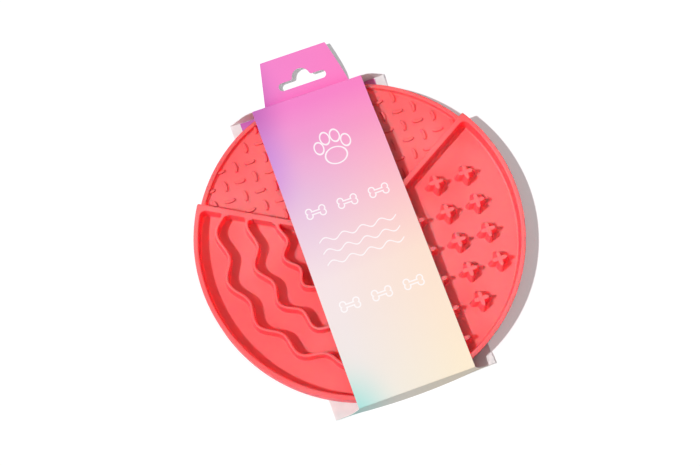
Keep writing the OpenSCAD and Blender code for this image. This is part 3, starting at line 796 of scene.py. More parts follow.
# Rows of dashes that are tried, and columns to each side of the middle one
DASH_ROWS, DASH_COLUMNS = 10, 11
# Sections along a dash, and how many a cut-off one has at least
DASH_SECTIONS, FEWEST_SECTIONS = 12, 4
# Directions, in degrees, of the rows round a dash's top edge
DASH_EDGE_TURNS = range(0, 91, 18)
# How full a dash's ends are in plan, how small their last section is, and how full in side view
END_FULLNESS, END_SHARE, END_HEIGHT = 6, 0.02, 0.6


def dash_line(sizes):
    """Middle line of a dash about the origin, bowed towards -Y."""
    bow, half = sizes.dash_bow, sizes.dash_l / 2
    radius = (half ** 2 + bow ** 2) / (2 * bow)
    spread = math.degrees(math.asin(half / radius))
    return [
        radius * unit(-90 + spread * t) + np.array((0, radius - bow / 2))
        for t in np.linspace(-1, 1, DASH_SECTIONS + 1)
    ]


def dash_places(sizes):
    """Each dash's middle and its turn, over the whole tray."""
    inner_r = LOW_RIM_R - sizes.low_rim_w
    wall = sizes.divider_w / 2 / math.cos(math.radians(RIGHT_DEG))
    for column in range(-DASH_COLUMNS, DASH_COLUMNS + 1):
        for row in range(DASH_ROWS + 1):
            x = sizes.dash_first_x + column * sizes.dash_pitch
            y = sizes.dash_first_y + row * sizes.dash_pitch
            in_tray = y > abs(x) * math.tan(math.radians(RIGHT_DEG)) + wall
            if in_tray and math.hypot(x, y) < inner_r:
                yield np.array((x, y)), 90 if (column + row) % 2 == 0 else 0


def in_dash_tray(sizes, point):
    """Whether a point lies in the dashes' tray or just inside one of its walls."""
    inside = min(point @ unit(RIGHT_DEG + 90), point @ unit(LEFT_DEG - 90)) > 0
    return inside and np.linalg.norm(point) < LOW_RIM_R - sizes.low_rim_w / 2


def dash_section(sizes):
    """Cross-section of a dash, from one foot over its rounded edges to the other, in parts of 1."""
    edge_x, edge_z = 2 * sizes.dash_edge_r / sizes.dash_w, sizes.dash_edge_r / sizes.dash_h
    right = [
        (1 - edge_x * (1 - math.cos(angle)), 1 - edge_z * (1 - math.sin(angle)))
        for angle in np.radians(DASH_EDGE_TURNS)
    ]
    return right + [(-x, z) for x, z in reversed(right)]


def build_dashes(sizes, materials):
    """The short curved dashes, rounded along their edges and at their ends."""
    piece = PieceMesh()
    line = dash_line(sizes)
    half_w, height = sizes.dash_w / 2, sizes.dash_h
    section = dash_section(sizes)
    for place, turn in dash_places(sizes):
        across_x, across_y = unit(turn), unit(turn + 90)
        points = [place + p[0] * across_x + p[1] * across_y for p in line]
        kept = [k for k, point in enumerate(points) if in_dash_tray(sizes, point)]
        if len(kept) < FEWEST_SECTIONS:
            continue
        rows = []
        for k in kept:
            ahead = points[min(k + 1, DASH_SECTIONS)] - points[max(k - 1, 0)]
            across = np.array((ahead[1], -ahead[0])) / np.linalg.norm(ahead)
            t = abs(2 * k / DASH_SECTIONS - 1)
            swell = math.sqrt(max(1 - t ** END_FULLNESS, END_SHARE))
            low = [(*(points[k] + side * half_w * swell * across), FLOOR_Z - SINK)
                   for side in (1, -1)]
            top = [(*(points[k] + c * half_w * swell * across),
                    FLOOR_Z + height * swell ** END_HEIGHT * s) for c, s in section]
            rows.append([low[0]] + top + [low[1]])
        rings = piece.loft(rows)
        piece.fill(rings[0])
        piece.fill(rings[-1])
    nodes = ("curved_dashes",)
    return finish_piece("dashes", piece, materials, nodes, MAT_BODY, squeezed(sizes))


CUP_SIDES = 28
# Rows along a cup's bell and along the hollow under it, in parts, and how steeply the bell falls
BELL_ROWS, HOLLOW_ROWS = (0.08, 0.3, 0.6, 0.85, 1), (0, 0.2, 0.45, 0.7, 0.9)
BELL_FALL = 0.8
# Height of the rounding between a cup's neck and its bell
NECK_ROUNDING = 0.2 * MM
# A cup's lip is rounded over its thickness divided by this
LIP_PART = 3


def build_cups(sizes, materials):
    """The suction cups under the floor: a neck, a thin bell and a rounded lip."""
    piece = PieceMesh()
    neck_r, lip_r = sizes.cup_neck_d / 2, sizes.cup_d / 2
    lip = sizes.cup_lip
    neck_z = UNDER_Z - sizes.cup_neck_h
    profile = [(neck_r, UNDER_Z + SINK), (neck_r, neck_z + NECK_ROUNDING)]
    profile += [
        (neck_r + (lip_r - neck_r) * t, neck_z + (FOOT_Z + lip - neck_z) * t ** BELL_FALL)
        for t in BELL_ROWS
    ]
    profile += [(lip_r, FOOT_Z + lip / LIP_PART), (lip_r - lip / LIP_PART, FOOT_Z)]
    profile += [
        ((lip_r - lip) * (1 - t), FOOT_Z + sizes.cup_hollow * math.sin(math.pi / 2 * t))
        for t in HOLLOW_ROWS
    ]
    turns = [FULL_TURN * k / CUP_SIDES for k in range(CUP_SIDES)]
    count = sizes.cup_rings
    for i in range(-count, count + 1):
        for j in range(-count, count + 1):
            if abs(i + j) > count:
                continue
            place = sizes.cup_pitch * np.array((i + j / 2, j * HALF_TRAY_SIN))
            rows = [[(*(place + r * unit(deg)), z) for deg in turns] for r, z in profile]
            rings = piece.loft(rows)
            piece.fan(rings[-1], (*place, FOOT_Z + sizes.cup_hollow))
            piece.fan(rings[0], (*place, UNDER_Z + SINK))
    nodes = ("suction_cups",)
    return finish_piece("cups", piece, materials, nodes, MAT_BODY)


# Bends flatter than this aren't folds, and rows round a fold
FLATTEST_FOLD_DEG, FOLD_STEPS = 30, 6


def ease(t):
    """Smooth step from 0 to 1."""
    t = min(1, max(0, t))
    return t * t * (3 - 2 * t)


def folded_path(corners, fold_r):
    """A line through corners in side view, with each inner corner rounded.

    Returns points with their outward normals, the outside being on the right of the line.
    """
    path = []
    for k, here in enumerate(corners):
        before = corners[max(k - 1, 0)]
        after = corners[min(k + 1, len(corners) - 1)]
        into = (here - before) / (np.linalg.norm(here - before) or 1)
        out = (after - here) / (np.linalg.norm(after - here) or 1)
        if not into.any():
            into = out
        if not out.any():
            out = into
        bend = math.atan2(into[0] * out[1] - into[1] * out[0], into @ out)
        if abs(bend) < math.radians(FLATTEST_FOLD_DEG):
            mean = (into + out) / np.linalg.norm(into + out)
            path.append((here, np.array((mean[1], -mean[0]))))
            continue
        back = fold_r * math.tan(abs(bend) / 2)
        side = math.copysign(1, bend)
        centre = here - back * into + side * fold_r * np.array((-into[1], into[0]))
        for step in range(FOLD_STEPS + 1):
            turn = bend * step / FOLD_STEPS
            heading = np.array((
                into[0] * math.cos(turn) - into[1] * math.sin(turn),
                into[0] * math.sin(turn) + into[1] * math.cos(turn),
            ))
            right = np.array((heading[1], -heading[0]))
            path.append((centre + side * fold_r * right, right))
    return path


def card_sheet(piece, path, columns_at, keep, place):
    """Adds a closed card that follows a side-view path, with the columns that each place gives.

    Its outside is printed, its inside bare, and its edges are cut.
    A cell whose middle keep() refuses is left out, which makes a slit. place() moves its points.
    """
    outer, inner, middles = [], [], []
    for point, normal in path:
        columns = columns_at(point)
        for rows, side in ((outer, 0.5), (inner, -0.5)):
            y, z = point + side * CARD_T * normal
            rows.append(piece.ring([place(x, y, z) for x in columns]))
        middles.append((columns, point))
    count = len(middles[0][0])
    cells = set()
    for row in range(len(path) - 1):
        mean = (middles[row][1] + middles[row + 1][1]) / 2
        for column in range(count - 1):
            x = (middles[row][0][column] + middles[row][0][column + 1]) / 2
            if keep(x, mean):
                cells.add((row, column))
    for row, column in sorted(cells):
        square = ((row, column), (row, column + 1), (row + 1, column + 1), (row + 1, column))
        piece.face([outer[r][c] for r, c in square], PRINTED)
        piece.face([inner[r][c] for r, c in reversed(square)], BARE)
        beyond = ((row - 1, column), (row, column + 1), (row + 1, column), (row, column - 1))
        for k, other in enumerate(beyond):
            if other not in cells:
                (r0, c0), (r1, c1) = square[k], square[(k + 1) % len(square)]
                piece.face((outer[r0][c0], inner[r0][c0], inner[r1][c1], outer[r1][c1]), CUT)


def sleeve_ends(sizes):
    """Y of the sleeve's outside at its foot end and at its hang end, pressed in on the mat."""
    return FRONT_LOW[1] + sizes.foot_bow, FRONT_HIGH[1] - sizes.head_squeeze


def corner_rise(sizes, x, y):
    """How far the card rises from the floor at a place: only at its corners, beyond the mat."""
    return sizes.corner_rise * ease((math.hypot(x, y) - MAT_R) / sizes.corner_rise_run)


def bowed(sizes):
    """A function that bows the base of the sleeve's foot end outwards and lifts its corners."""
    def place(x, y, z):
        along = min(abs(x) / sizes.foot_bow_reach, 1)
        down = 1 - min(max((z - CARD_T) / (FRONT_HIGH[2] - 2 * CARD_T), 0), 1)
        fade = 1 - ease((y - sleeve_ends(sizes)[0]) / sizes.foot_bow_run)
        bow = sizes.foot_bow * (1 - along ** 2) * down * fade
        return (x, y - bow, z + corner_rise(sizes, x, y) * down)

    return place


# Rows up the foot spine, along the front panel, down its dip and up the head spine
SPINE_STEPS, PANEL_STEPS, DIP_STEPS, HEAD_STEPS = 12, 8, 13, 5
# How much of the way to its ends the front panel's own rows take up
PANEL_SHARE = 0.8
# Columns of the wrap between an edge and the slit, and across the slit
EDGE_COLUMNS, SLIT_COLUMNS = 4, 9
# How deep the wrap's ends reach into the back panel
WRAP_SINK = 0.05 * MM
# What counts as on the foot spine and on the head spine, from their middle planes
FOOT_ZONE, HEAD_ZONE = 2 * MM, 0.1 * MM
# Half widths of the front panel at its foot end and at its hang end
FOOT_TOP_W = FRONT_HIGH[0]
HEAD_TOP_W = FRONT_HIGH[0] - 0.9 * MM


def wrap_lines(sizes):
    """Y of the two spines' and z of the front panel's and its dip's middle planes."""
    middle = CARD_T / 2
    foot_end, head_end = sleeve_ends(sizes)
    return foot_end + middle, head_end - middle, FRONT_HIGH[2] - middle, HEAD_Z + middle


def wrap_path(sizes):
    """The wrap in side view: up the foot spine, along the front panel and down the head spine."""
    foot_y, head_y, front_z, head_z = wrap_lines(sizes)
    base_z = CARD_T - WRAP_SINK
    dip_from = MAT_R * math.sin(math.radians(RIGHT_DEG)) + sizes.dip_start + sizes.dip_gap
    foot = [(foot_y, base_z + (front_z - base_z) * (k / SPINE_STEPS) ** 2)
            for k in range(SPINE_STEPS + 1)]
    crown = [(y, front_z)
             for y in np.linspace(foot_y * PANEL_SHARE, dip_from * PANEL_SHARE, PANEL_STEPS)]
    dip = [(dip_from + sizes.dip_run * t, front_z - (front_z - head_z) * ease(t))
           for t in np.linspace(0, 1, DIP_STEPS)]
    shoulder_z = head_z - sizes.shoulder_h
    below = np.linspace(shoulder_z, slit_top(sizes), HEAD_STEPS)[1:]
    head = [(head_y, z) for z in (head_z, shoulder_z, *below)]
    corners = [np.array(point) for point in foot + crown + dip + head + [(head_y, base_z)]]
    return [(point, -normal) for point, normal in folded_path(corners, sizes.fold_r)]


def slit_top(sizes):
    """Z of the top of the slit that the hanger card passes through."""
    return 2 * CARD_T + sizes.slit_gap


def foot_half_width(sizes, z, top_z):
    """Half the foot spine's width at the height z: flared out at its base."""
    t = min(max((z - CARD_T) / (top_z - CARD_T), 0), 1)
    straight = sizes.spine_w / 2 + t * (FOOT_TOP_W - sizes.spine_w / 2)
    flare = (BACK_HIGH[0] - sizes.spine_w / 2) * (1 - t) ** sizes.spine_flare
    return straight - sizes.spine_hollow * math.sin(math.pi * t) + flare


def head_half_width(sizes, z, top_z):
    """Half the head spine's width at the height z: wide at its base, in to its shoulder."""
    shoulder_z = top_z - CARD_T / 2 - sizes.shoulder_h
    if z > shoulder_z:
        t = min((z - shoulder_z) / sizes.shoulder_h, 1)
        return sizes.shoulder_w / 2 + (HEAD_TOP_W - sizes.shoulder_w / 2) * t
    t = (z - CARD_T) / (shoulder_z - CARD_T)
    return BACK_HIGH[0] + (sizes.shoulder_w / 2 - BACK_HIGH[0]) * max(t, 0)


def wrap_half_width(sizes, point):
    """Half the wrap's width at a point of its path."""
    foot_y, head_y, front_z, head_z = wrap_lines(sizes)
    y, z = point
    if y < foot_y + FOOT_ZONE:
        return foot_half_width(sizes, z, front_z)
    if y > head_y - HEAD_ZONE:
        return head_half_width(sizes, z, head_z)
    t = (y - foot_y) / (head_y - foot_y)
    return FOOT_TOP_W + (HEAD_TOP_W - FOOT_TOP_W) * t


def build_sleeve_wrap(sizes, materials):
    """Foot spine, front panel and head spine: one printed strip with rounded folds."""
    piece = PieceMesh()
    head_y = wrap_lines(sizes)[1]
    slit = sizes.neck_w / 2 + sizes.slit_gap
    left, right = sizes.tab_shift - slit, sizes.tab_shift + slit

    def columns_at(point):
        edge = wrap_half_width(sizes, point)
        return (
            list(np.linspace(-edge, left, EDGE_COLUMNS))[:-1]
            + list(np.linspace(left, right, SLIT_COLUMNS))
            + list(np.linspace(right, edge, EDGE_COLUMNS))[1:]
        )

    def keep(x, point):
        in_slit = abs(x - sizes.tab_shift) < slit and point[0] > head_y - HEAD_ZONE
        return not (in_slit and point[1] < slit_top(sizes))

    card_sheet(piece, wrap_path(sizes), columns_at, keep, bowed(sizes))
    nodes = ("foot_spine", "front_panel", "head_spine")
    return finish_piece("sleeve_wrap", piece, materials, nodes, SLEEVE_BODY)


def rounded_plate(piece, outline, low_z, high_z, slots, holes=()):
    """Adds a flat card with this outline and holes; slots are its top's, underside's and edges'."""
    sides = []
    for z in (high_z, low_z):
        sides.append([piece.ring([(x, y, z) for x, y in loop]) for loop in (outline, *holes)])
    piece.fill(*sides[0], slot=slots[0])
    piece.fill(*sides[1], slot=slots[1])
    for over, under in zip(*sides):
        piece.bridge(over, under, slot=slots[2])


# Parts of the arc at a corner of the back panel, and points along its foot edge
PANEL_CORNER_STEPS, FOOT_EDGE_POINTS = 5, 16


def rounded_rectangle(low, high, radius):
    """Outline of a rectangle with rounded corners and extra points along its foot edge."""
    left, right = low[0] + radius, high[0] - radius
    near, far = low[1] + radius, high[1] - radius

    def corner(x, y, start):
        return [point for point, _ in arc((x, y), radius, start, start + 90, PANEL_CORNER_STEPS)]

    foot_edge = [(x, low[1]) for x in np.linspace(low[0], high[0], FOOT_EDGE_POINTS)[1:-1]]
    return (
        corner(right, far, 0) + corner(left, far, 90) + corner(left, near, 180)
        + foot_edge + corner(right, near, 270)
    )


def cut_across(shape, axis, places):
    """Cuts a flat card straight across at these places, so that it can be bent there."""
    normal = [0, 0, 0]
    normal[axis] = 1
    for place in places:
        parts = shape.verts[:] + shape.edges[:] + shape.faces[:]
        middle = [place * n for n in normal]
        bmesh.ops.bisect_plane(shape, geom=parts, plane_co=middle, plane_no=normal)


# Where the back panel is cut along its length, and how far from the middle it is cut across
PANEL_HALF, PANEL_STEP = 70 * MM, 7 * MM
PANEL_RUNS = tuple(run * MM for run in (78, 83, 88, 93, 98, 103))


def build_back_panel(sizes, materials):
    """The back panel that the mat and the hanger card lie on, printed underneath."""
    piece = PieceMesh()
    foot_y, head_y = sleeve_ends(sizes)
    outline = rounded_rectangle((BACK_LOW[0], foot_y), (BACK_HIGH[0], head_y), sizes.edge_r)
    rounded_plate(piece, outline, BACK_LOW[2], BACK_HIGH[2], (BARE, PRINTED, CUT))
    place = bowed(sizes)

    def bend(shape):
        cut_across(shape, 0, np.arange(-PANEL_HALF, PANEL_HALF + PANEL_STEP / 2, PANEL_STEP))
        cut_across(shape, 1, [side * run for run in PANEL_RUNS for side in (1, -1)])
        for point in shape.verts:
            point.co = place(*point.co)

    nodes = ("back_panel",)
    return finish_piece(
        "sleeve_back", piece, materials, nodes, SLEEVE_BODY, change=bend
    )


# Where the hanger card's two wings are cut, so that they can rise with the panel's corners
WING_CUTS = tuple(cut * MM for cut in (38, 44, 50, 56, 62))
WING_RUNS = tuple(run * MM for run in (-30, -24, -18, -13, -9, -5))
# How far from the crease the hanger card is cut across, so that it can bend there
BEND_RUNS = tuple(run * MM for run in (-0.3, 0, 0.3, 1, 2, 3, 4.5, 6.5, 9, 12, 16, 21))
# Parts of the arcs at the tab's corners and round the hang hole's slot, fillets and middle
TAB_CORNER_STEPS = 4
SLOT_STEPS, HOLE_FILLET_STEPS, HOLE_MIDDLE_STEPS = 10, 5, 9


def build_hanger(sizes, materials):
    """The hanger card and its hang tab in one, which bends between them at the crease."""
    piece = PieceMesh()
    crease_y, crease_z = TAB_HINGE[1:]
    wide, shift, half_neck = HANGER_HIGH[0], sizes.tab_shift, sizes.neck_w / 2
    low_run = HANGER_LOW[1] - crease_y
    shoulder_run = sleeve_ends(sizes)[1] - CARD_T - sizes.slit_gap - crease_y
    end = (sizes.tab_end_w / 2 - sizes.tab_corner_r, sizes.tab_l - sizes.tab_corner_r)
    corner = [point for point, _ in arc(end, sizes.tab_corner_r, 0, 90, TAB_CORNER_STEPS)]
    tongue = [(half_neck, shoulder_run), (half_neck, 0)] + corner
    outline = (
        [(wide, low_run), (wide, shoulder_run)]
        + [(shift + x, run) for x, run in tongue]
        + [(shift - x, run) for x, run in reversed(tongue)]
        + [(-wide, shoulder_run), (-wide, low_run)]
    )
    hole = [(shift + x, run) for x, run in hang_hole(sizes)]
    slots = (PRINTED, BARE, CUT)
    rounded_plate(piece, outline, -CARD_T / 2, CARD_T / 2, slots, holes=(hole,))

    def bend(shape):
        cut_across(shape, 0, [side * cut for cut in WING_CUTS for side in (1, -1)])
        cut_across(shape, 1, WING_RUNS + BEND_RUNS)
        for point in shape.verts:
            x, run, up = point.co
            rise = sizes.tab_rise * (1 - math.exp(-max(run, 0) / sizes.tab_rise_run))
            if run < 0:
                rise = corner_rise(sizes, x, crease_y + run)
            point.co = (x, crease_y + run, crease_z + up + rise)

    nodes = ("hanger_card", "hang_tab")
    obj = finish_piece("hanger", piece, materials, nodes, change=bend)
    end = (0, crease_y + BEND_RUNS[2], crease_z)
    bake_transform(obj)
    return obj


def hang_hole(sizes):
    """Outline of the hang hole: a slot whose middle rises in a filleted round."""
    slot_r, middle_r, fillet_r = sizes.hole_h / 2, sizes.hole_middle_d / 2, sizes.hole_fillet_r
    end_x, low_y = sizes.hole_w / 2 - slot_r, sizes.hole_from_crease
    middle_y = low_y + slot_r + sizes.hole_middle_h - middle_r
    fillet_y = low_y + slot_r + fillet_r
    fillet_x = math.sqrt((middle_r + fillet_r) ** 2 - (fillet_y - middle_y) ** 2)
    meet = math.degrees(math.asin((fillet_y - middle_y) / (middle_r + fillet_r)))
    half = (
        arc((end_x, low_y), slot_r, -90, 90, SLOT_STEPS)
        + arc((fillet_x, fillet_y), fillet_r, 270, 180 + meet, HOLE_FILLET_STEPS)
        + arc((0, middle_y), middle_r, meet, 90, HOLE_MIDDLE_STEPS)[1:]
    )
    right = [tuple(point) for point, _ in half]
    return right + [(-x, y) for x, y in reversed(right[:-1])]


def add_node(tree, kind, place=(0, 0), **values):
    """Adds a shader node and sets its attributes."""
    node = tree.nodes.new(kind)
    node.location = place
    for name, value in values.items():
        setattr(node, name, value)
    return node


def math_node(tree, operation, first, second=None, third=None, clamp=False):
    """A Math node on sockets or numbers; returns its output."""
    node = add_node(tree, "ShaderNodeMath", operation=operation, use_clamp=clamp)
    for socket, value in zip(node.inputs, (first, second, third)):
        if value is None:
            continue
        if isinstance(value, (int, float)):
            socket.default_value = value
        else:
            tree.links.new(value, socket)
    return node.outputs[0]


# Numbers of a Mix node's two colour inputs and of its colour output
MIX_COLOURS_IN, MIX_COLOUR_OUT = (6, 7), 2


def mix_colours(tree, factor, first, second):
    """A Mix node on colours; factor, first and second are sockets or values."""
    node = add_node(tree, "ShaderNodeMix", data_type="RGBA")
    sockets = [node.inputs["Factor"]] + [node.inputs[k] for k in MIX_COLOURS_IN]
    for socket, value in zip(sockets, (factor, first, second)):
        if isinstance(value, bpy.types.NodeSocket):
            tree.links.new(value, socket)
        elif isinstance(value, (int, float)):
            socket.default_value = value
        else:
            socket.default_value = (*value, 1)
    return node.outputs[MIX_COLOUR_OUT]


FLOAT, COLOR, VECTOR = "NodeSocketFloat", "NodeSocketColor", "NodeSocketVector"


def new_group(name, inputs, outputs):
    """A shader node group with the named sockets; returns the tree and its two end nodes."""
    tree = bpy.data.node_groups.new(name, "ShaderNodeTree")
    for label, kind in inputs:
        tree.interface.new_socket(name=label, in_out="INPUT", socket_type=kind)
    for label, kind in outputs:
        tree.interface.new_socket(name=label, in_out="OUTPUT", socket_type=kind)
    return tree, add_node(tree, "NodeGroupInput"), add_node(tree, "NodeGroupOutput", (900, 0))


def use_group(tree, group, **values):
    """Places a node group in a material's tree."""
    node = add_node(tree, "ShaderNodeGroup", node_tree=group)
    for name, value in values.items():
        label = name.replace("_", " ").capitalize()
        if isinstance(value, bpy.types.NodeSocket):
            tree.links.new(value, node.inputs[label])
        else:
            node.inputs[label].default_value = value
    return node


# Between which heights of its noise the mottle runs from 0 to 1
MOTTLE_FROM, MOTTLE_TO = 0.35, 0.65


def grain_group():
    """Fine grain: an uneven height, and a slow mottle from 0 to 1."""
    tree, given, made = new_group(
        "Fine grain",
        [("Position", VECTOR), ("Grain scale", FLOAT), ("Mottle scale", FLOAT)],
        [("Height", FLOAT), ("Mottle", FLOAT)],
    )
    fine = add_node(tree, "ShaderNodeTexNoise")
    fine.inputs["Detail"].default_value = 3
    slow = add_node(tree, "ShaderNodeTexNoise")
    slow.inputs["Detail"].default_value = 2
    for node, scale in ((fine, "Grain scale"), (slow, "Mottle scale")):
        tree.links.new(given.outputs["Position"], node.inputs["Vector"])
        tree.links.new(given.outputs[scale], node.inputs["Scale"])
    tree.links.new(fine.outputs["Fac"], made.inputs["Height"])
    spread = add_node(tree, "ShaderNodeMapRange", interpolation_type="SMOOTHSTEP")
    spread.inputs["From Min"].default_value = MOTTLE_FROM
    spread.inputs["From Max"].default_value = MOTTLE_TO
    tree.links.new(slow.outputs["Fac"], spread.inputs["Value"])
    tree.links.new(spread.outputs["Result"], made.inputs["Mottle"])
    return tree


def use_grain(tree, position, scales):
    """Places the fine grain in a material; scales are its grains and its mottles to the metre."""
    grain_scale, mottle_scale = scales
    group = bpy.data.node_groups["Fine grain"]
    return use_group(
        tree, group, position=position, grain_scale=grain_scale, mottle_scale=mottle_scale
    )


def spot(tree, position, x, y, reach_x, reach_y):
    """1 at a place in plan, fading smoothly to 0 at its reach."""
    shifted_by = add_node(tree, "ShaderNodeVectorMath", operation="SUBTRACT")
    tree.links.new(position, shifted_by.inputs[0])
    shifted_by.inputs[1].default_value = (x, y, 0)
    scaled = add_node(tree, "ShaderNodeVectorMath", operation="MULTIPLY")
    tree.links.new(shifted_by.outputs[0], scaled.inputs[0])
    scaled.inputs[1].default_value = (1 / reach_x, 1 / reach_y, 0)
    far = add_node(tree, "ShaderNodeVectorMath", operation="LENGTH")
    tree.links.new(scaled.outputs[0], far.inputs[0])
    fade = add_node(tree, "ShaderNodeMapRange", interpolation_type="SMOOTHERSTEP")
    tree.links.new(far.outputs["Value"], fade.inputs["Value"])
    fade.inputs["To Min"].default_value = 1
    fade.inputs["To Max"].default_value = 0
    return fade.outputs["Result"]


def colour_run(tree, place, colours):
    """A blend through evenly or unevenly placed colours: pairs of place from 0 to 1 and colour."""
    node = add_node(tree, "ShaderNodeValToRGB")
    tree.links.new(place, node.inputs["Fac"])
    stops = node.color_ramp.elements
    while len(stops) < len(colours):
        stops.new(0.5)
    for stop, (position, colour) in zip(stops, colours):
        stop.position = position
        stop.color = (*colour, 1)
    return node.outputs["Color"]


# How far along the print its four colours lie, from the foot end to the hang end
PRINT_STOPS = (0, 0.40, 0.70, 1)
# Reach of the print's run along the sleeve and across it
PRINT_FOOT_Y, PRINT_HEAD_Y = -104 * MM, 100 * MM
PRINT_LEFT_X, PRINT_RIGHT_X = -30 * MM, 34 * MM
# Middles and reaches in plan of the soft spots of colour on the print
LAVENDER_SPOT = (-50 * MM, 70 * MM, 36 * MM, 60 * MM)
VIOLET_SPOT = (-46 * MM, 116 * MM, 38 * MM, 60 * MM)
TEAL_SPOT = (-50 * MM, -118 * MM, 46 * MM, 56 * MM)
# How much painted shade the print on the foot spine takes, and how far over the fold it runs
SPINE_SHADE, SPINE_SHADE_RUN = 0.24, 2.25 * MM


def tint_print_group(finishes):
    """The sleeve's print: a soft blend of tints that runs over panels, spines and hang tab, greyed
    by a painted shade on the foot spine.
    """
    tree, given, made = new_group("Tint print", [("Position", VECTOR)], [("Color", COLOR)])
    position = given.outputs["Position"]
    split = add_node(tree, "ShaderNodeSeparateXYZ")
    tree.links.new(position, split.inputs[0])
    shares = []
    for axis, low, high in (("Y", PRINT_FOOT_Y, PRINT_HEAD_Y), ("X", PRINT_LEFT_X, PRINT_RIGHT_X)):
        share = add_node(tree, "ShaderNodeMapRange")
        tree.links.new(split.outputs[axis], share.inputs["Value"])
        share.inputs["From Min"].default_value = low
        share.inputs["From Max"].default_value = high
        shares.append(share.outputs["Result"])
    cool = (finishes.cool_foot, finishes.cool_lower, finishes.cool_upper, finishes.cool_head)
    warm = (finishes.warm_foot, finishes.warm_lower, finishes.warm_upper, finishes.warm_head)
    cool = colour_run(tree, shares[0], list(zip(PRINT_STOPS, cool)))
    warm = colour_run(tree, shares[0], list(zip(PRINT_STOPS, warm)))
    colour = mix_colours(tree, shares[1], cool, warm)
    spots = (
        (LAVENDER_SPOT, finishes.print_lavender),
        (VIOLET_SPOT, finishes.print_violet),
        (TEAL_SPOT, finishes.print_teal),
    )
    for place, tone in spots:
        colour = mix_colours(tree, spot(tree, position, *place), colour, tone)
    # Painted shade on the foot spine, which faces away from the key light
    on_spine = math_node(tree, "LESS_THAN", split.outputs["Y"], FRONT_LOW[1] + SPINE_SHADE_RUN)
    shade = math_node(tree, "MULTIPLY", on_spine, SPINE_SHADE)
    colour = mix_colours(tree, shade, colour, finishes.painted_spine_shade)
    tree.links.new(colour, made.inputs["Color"])
    return tree


# A paw's pad and its right toes as ellipses: middle and reach in plan, from the paw's middle
PAW_PAD = (0, -5.6 * MM, 7.4 * MM, 5.8 * MM)
PAW_TOES = ((3.5 * MM, 8.2 * MM, 3.1 * MM, 4.6 * MM), (9.4 * MM, 2.6 * MM, 3.1 * MM, 4.4 * MM))
# A bone: half the distance between its knobs, how far they stand off its middle line, their size
BONE_REACH, BONE_SPREAD, BONE_KNOB = 4.6 * MM, 1.5 * MM, 2.0 * MM
# Half the width of a bone's shaft, in parts of its knobs' distance from the middle line
BONE_SHAFT = 0.7
BONE_PITCH, BONE_COLUMNS = 22 * MM, 3
# Width of the motifs' lines, and how sharply their edges fade
MOTIF_LINE, LINE_SHARPNESS = 0.7 * MM, 2
# Where the paw, the rows of bones and the waves stand on the front panel
PAW_PLACE = (4 * MM, 62 * MM)
BONE_ROWS = (24 * MM, -42 * MM)
WAVE_ROWS = (4 * MM, -4 * MM, -12 * MM)
WAVE_SWING, WAVE_LENGTH, WAVE_HALF = 1.6 * MM, 13 * MM, 27 * MM


def ellipse_distance(tree, x, y, middle, reach):
    """How far outside an ellipse a place lies, in metres; below 0 inside it."""
    away = []
    for axis, centre, half in zip((x, y), middle, reach):
        share = math_node(tree, "DIVIDE", math_node(tree, "SUBTRACT", axis, centre), half)
        away.append(math_node(tree, "MULTIPLY", share, share))
    far = math_node(tree, "SQRT", math_node(tree, "ADD", *away))
    return math_node(tree, "MULTIPLY", math_node(tree, "SUBTRACT", far, 1), min(reach))


def outline_mask(tree, distance):
    """1 on a line of the motifs' width where a distance is 0."""
    share = math_node(tree, "DIVIDE", math_node(tree, "ABSOLUTE", distance), MOTIF_LINE / 2)
    inside = math_node(tree, "SUBTRACT", 1 + 1 / LINE_SHARPNESS, share)
    return math_node(tree, "MULTIPLY", inside, LINE_SHARPNESS, clamp=True)


def bone_distance(tree, x, y):
    """How far outside a bone shape about the origin a place lies."""
    x, y = math_node(tree, "ABSOLUTE", x), math_node(tree, "ABSOLUTE", y)
    knob = ellipse_distance(tree, x, y, (BONE_REACH, BONE_SPREAD), (BONE_KNOB, BONE_KNOB))
    bar = math_node(
        tree, "MAXIMUM",
        math_node(tree, "SUBTRACT", x, BONE_REACH),
        math_node(tree, "SUBTRACT", y, BONE_SPREAD * BONE_SHAFT),
    )
    return math_node(tree, "MINIMUM", knob, bar)


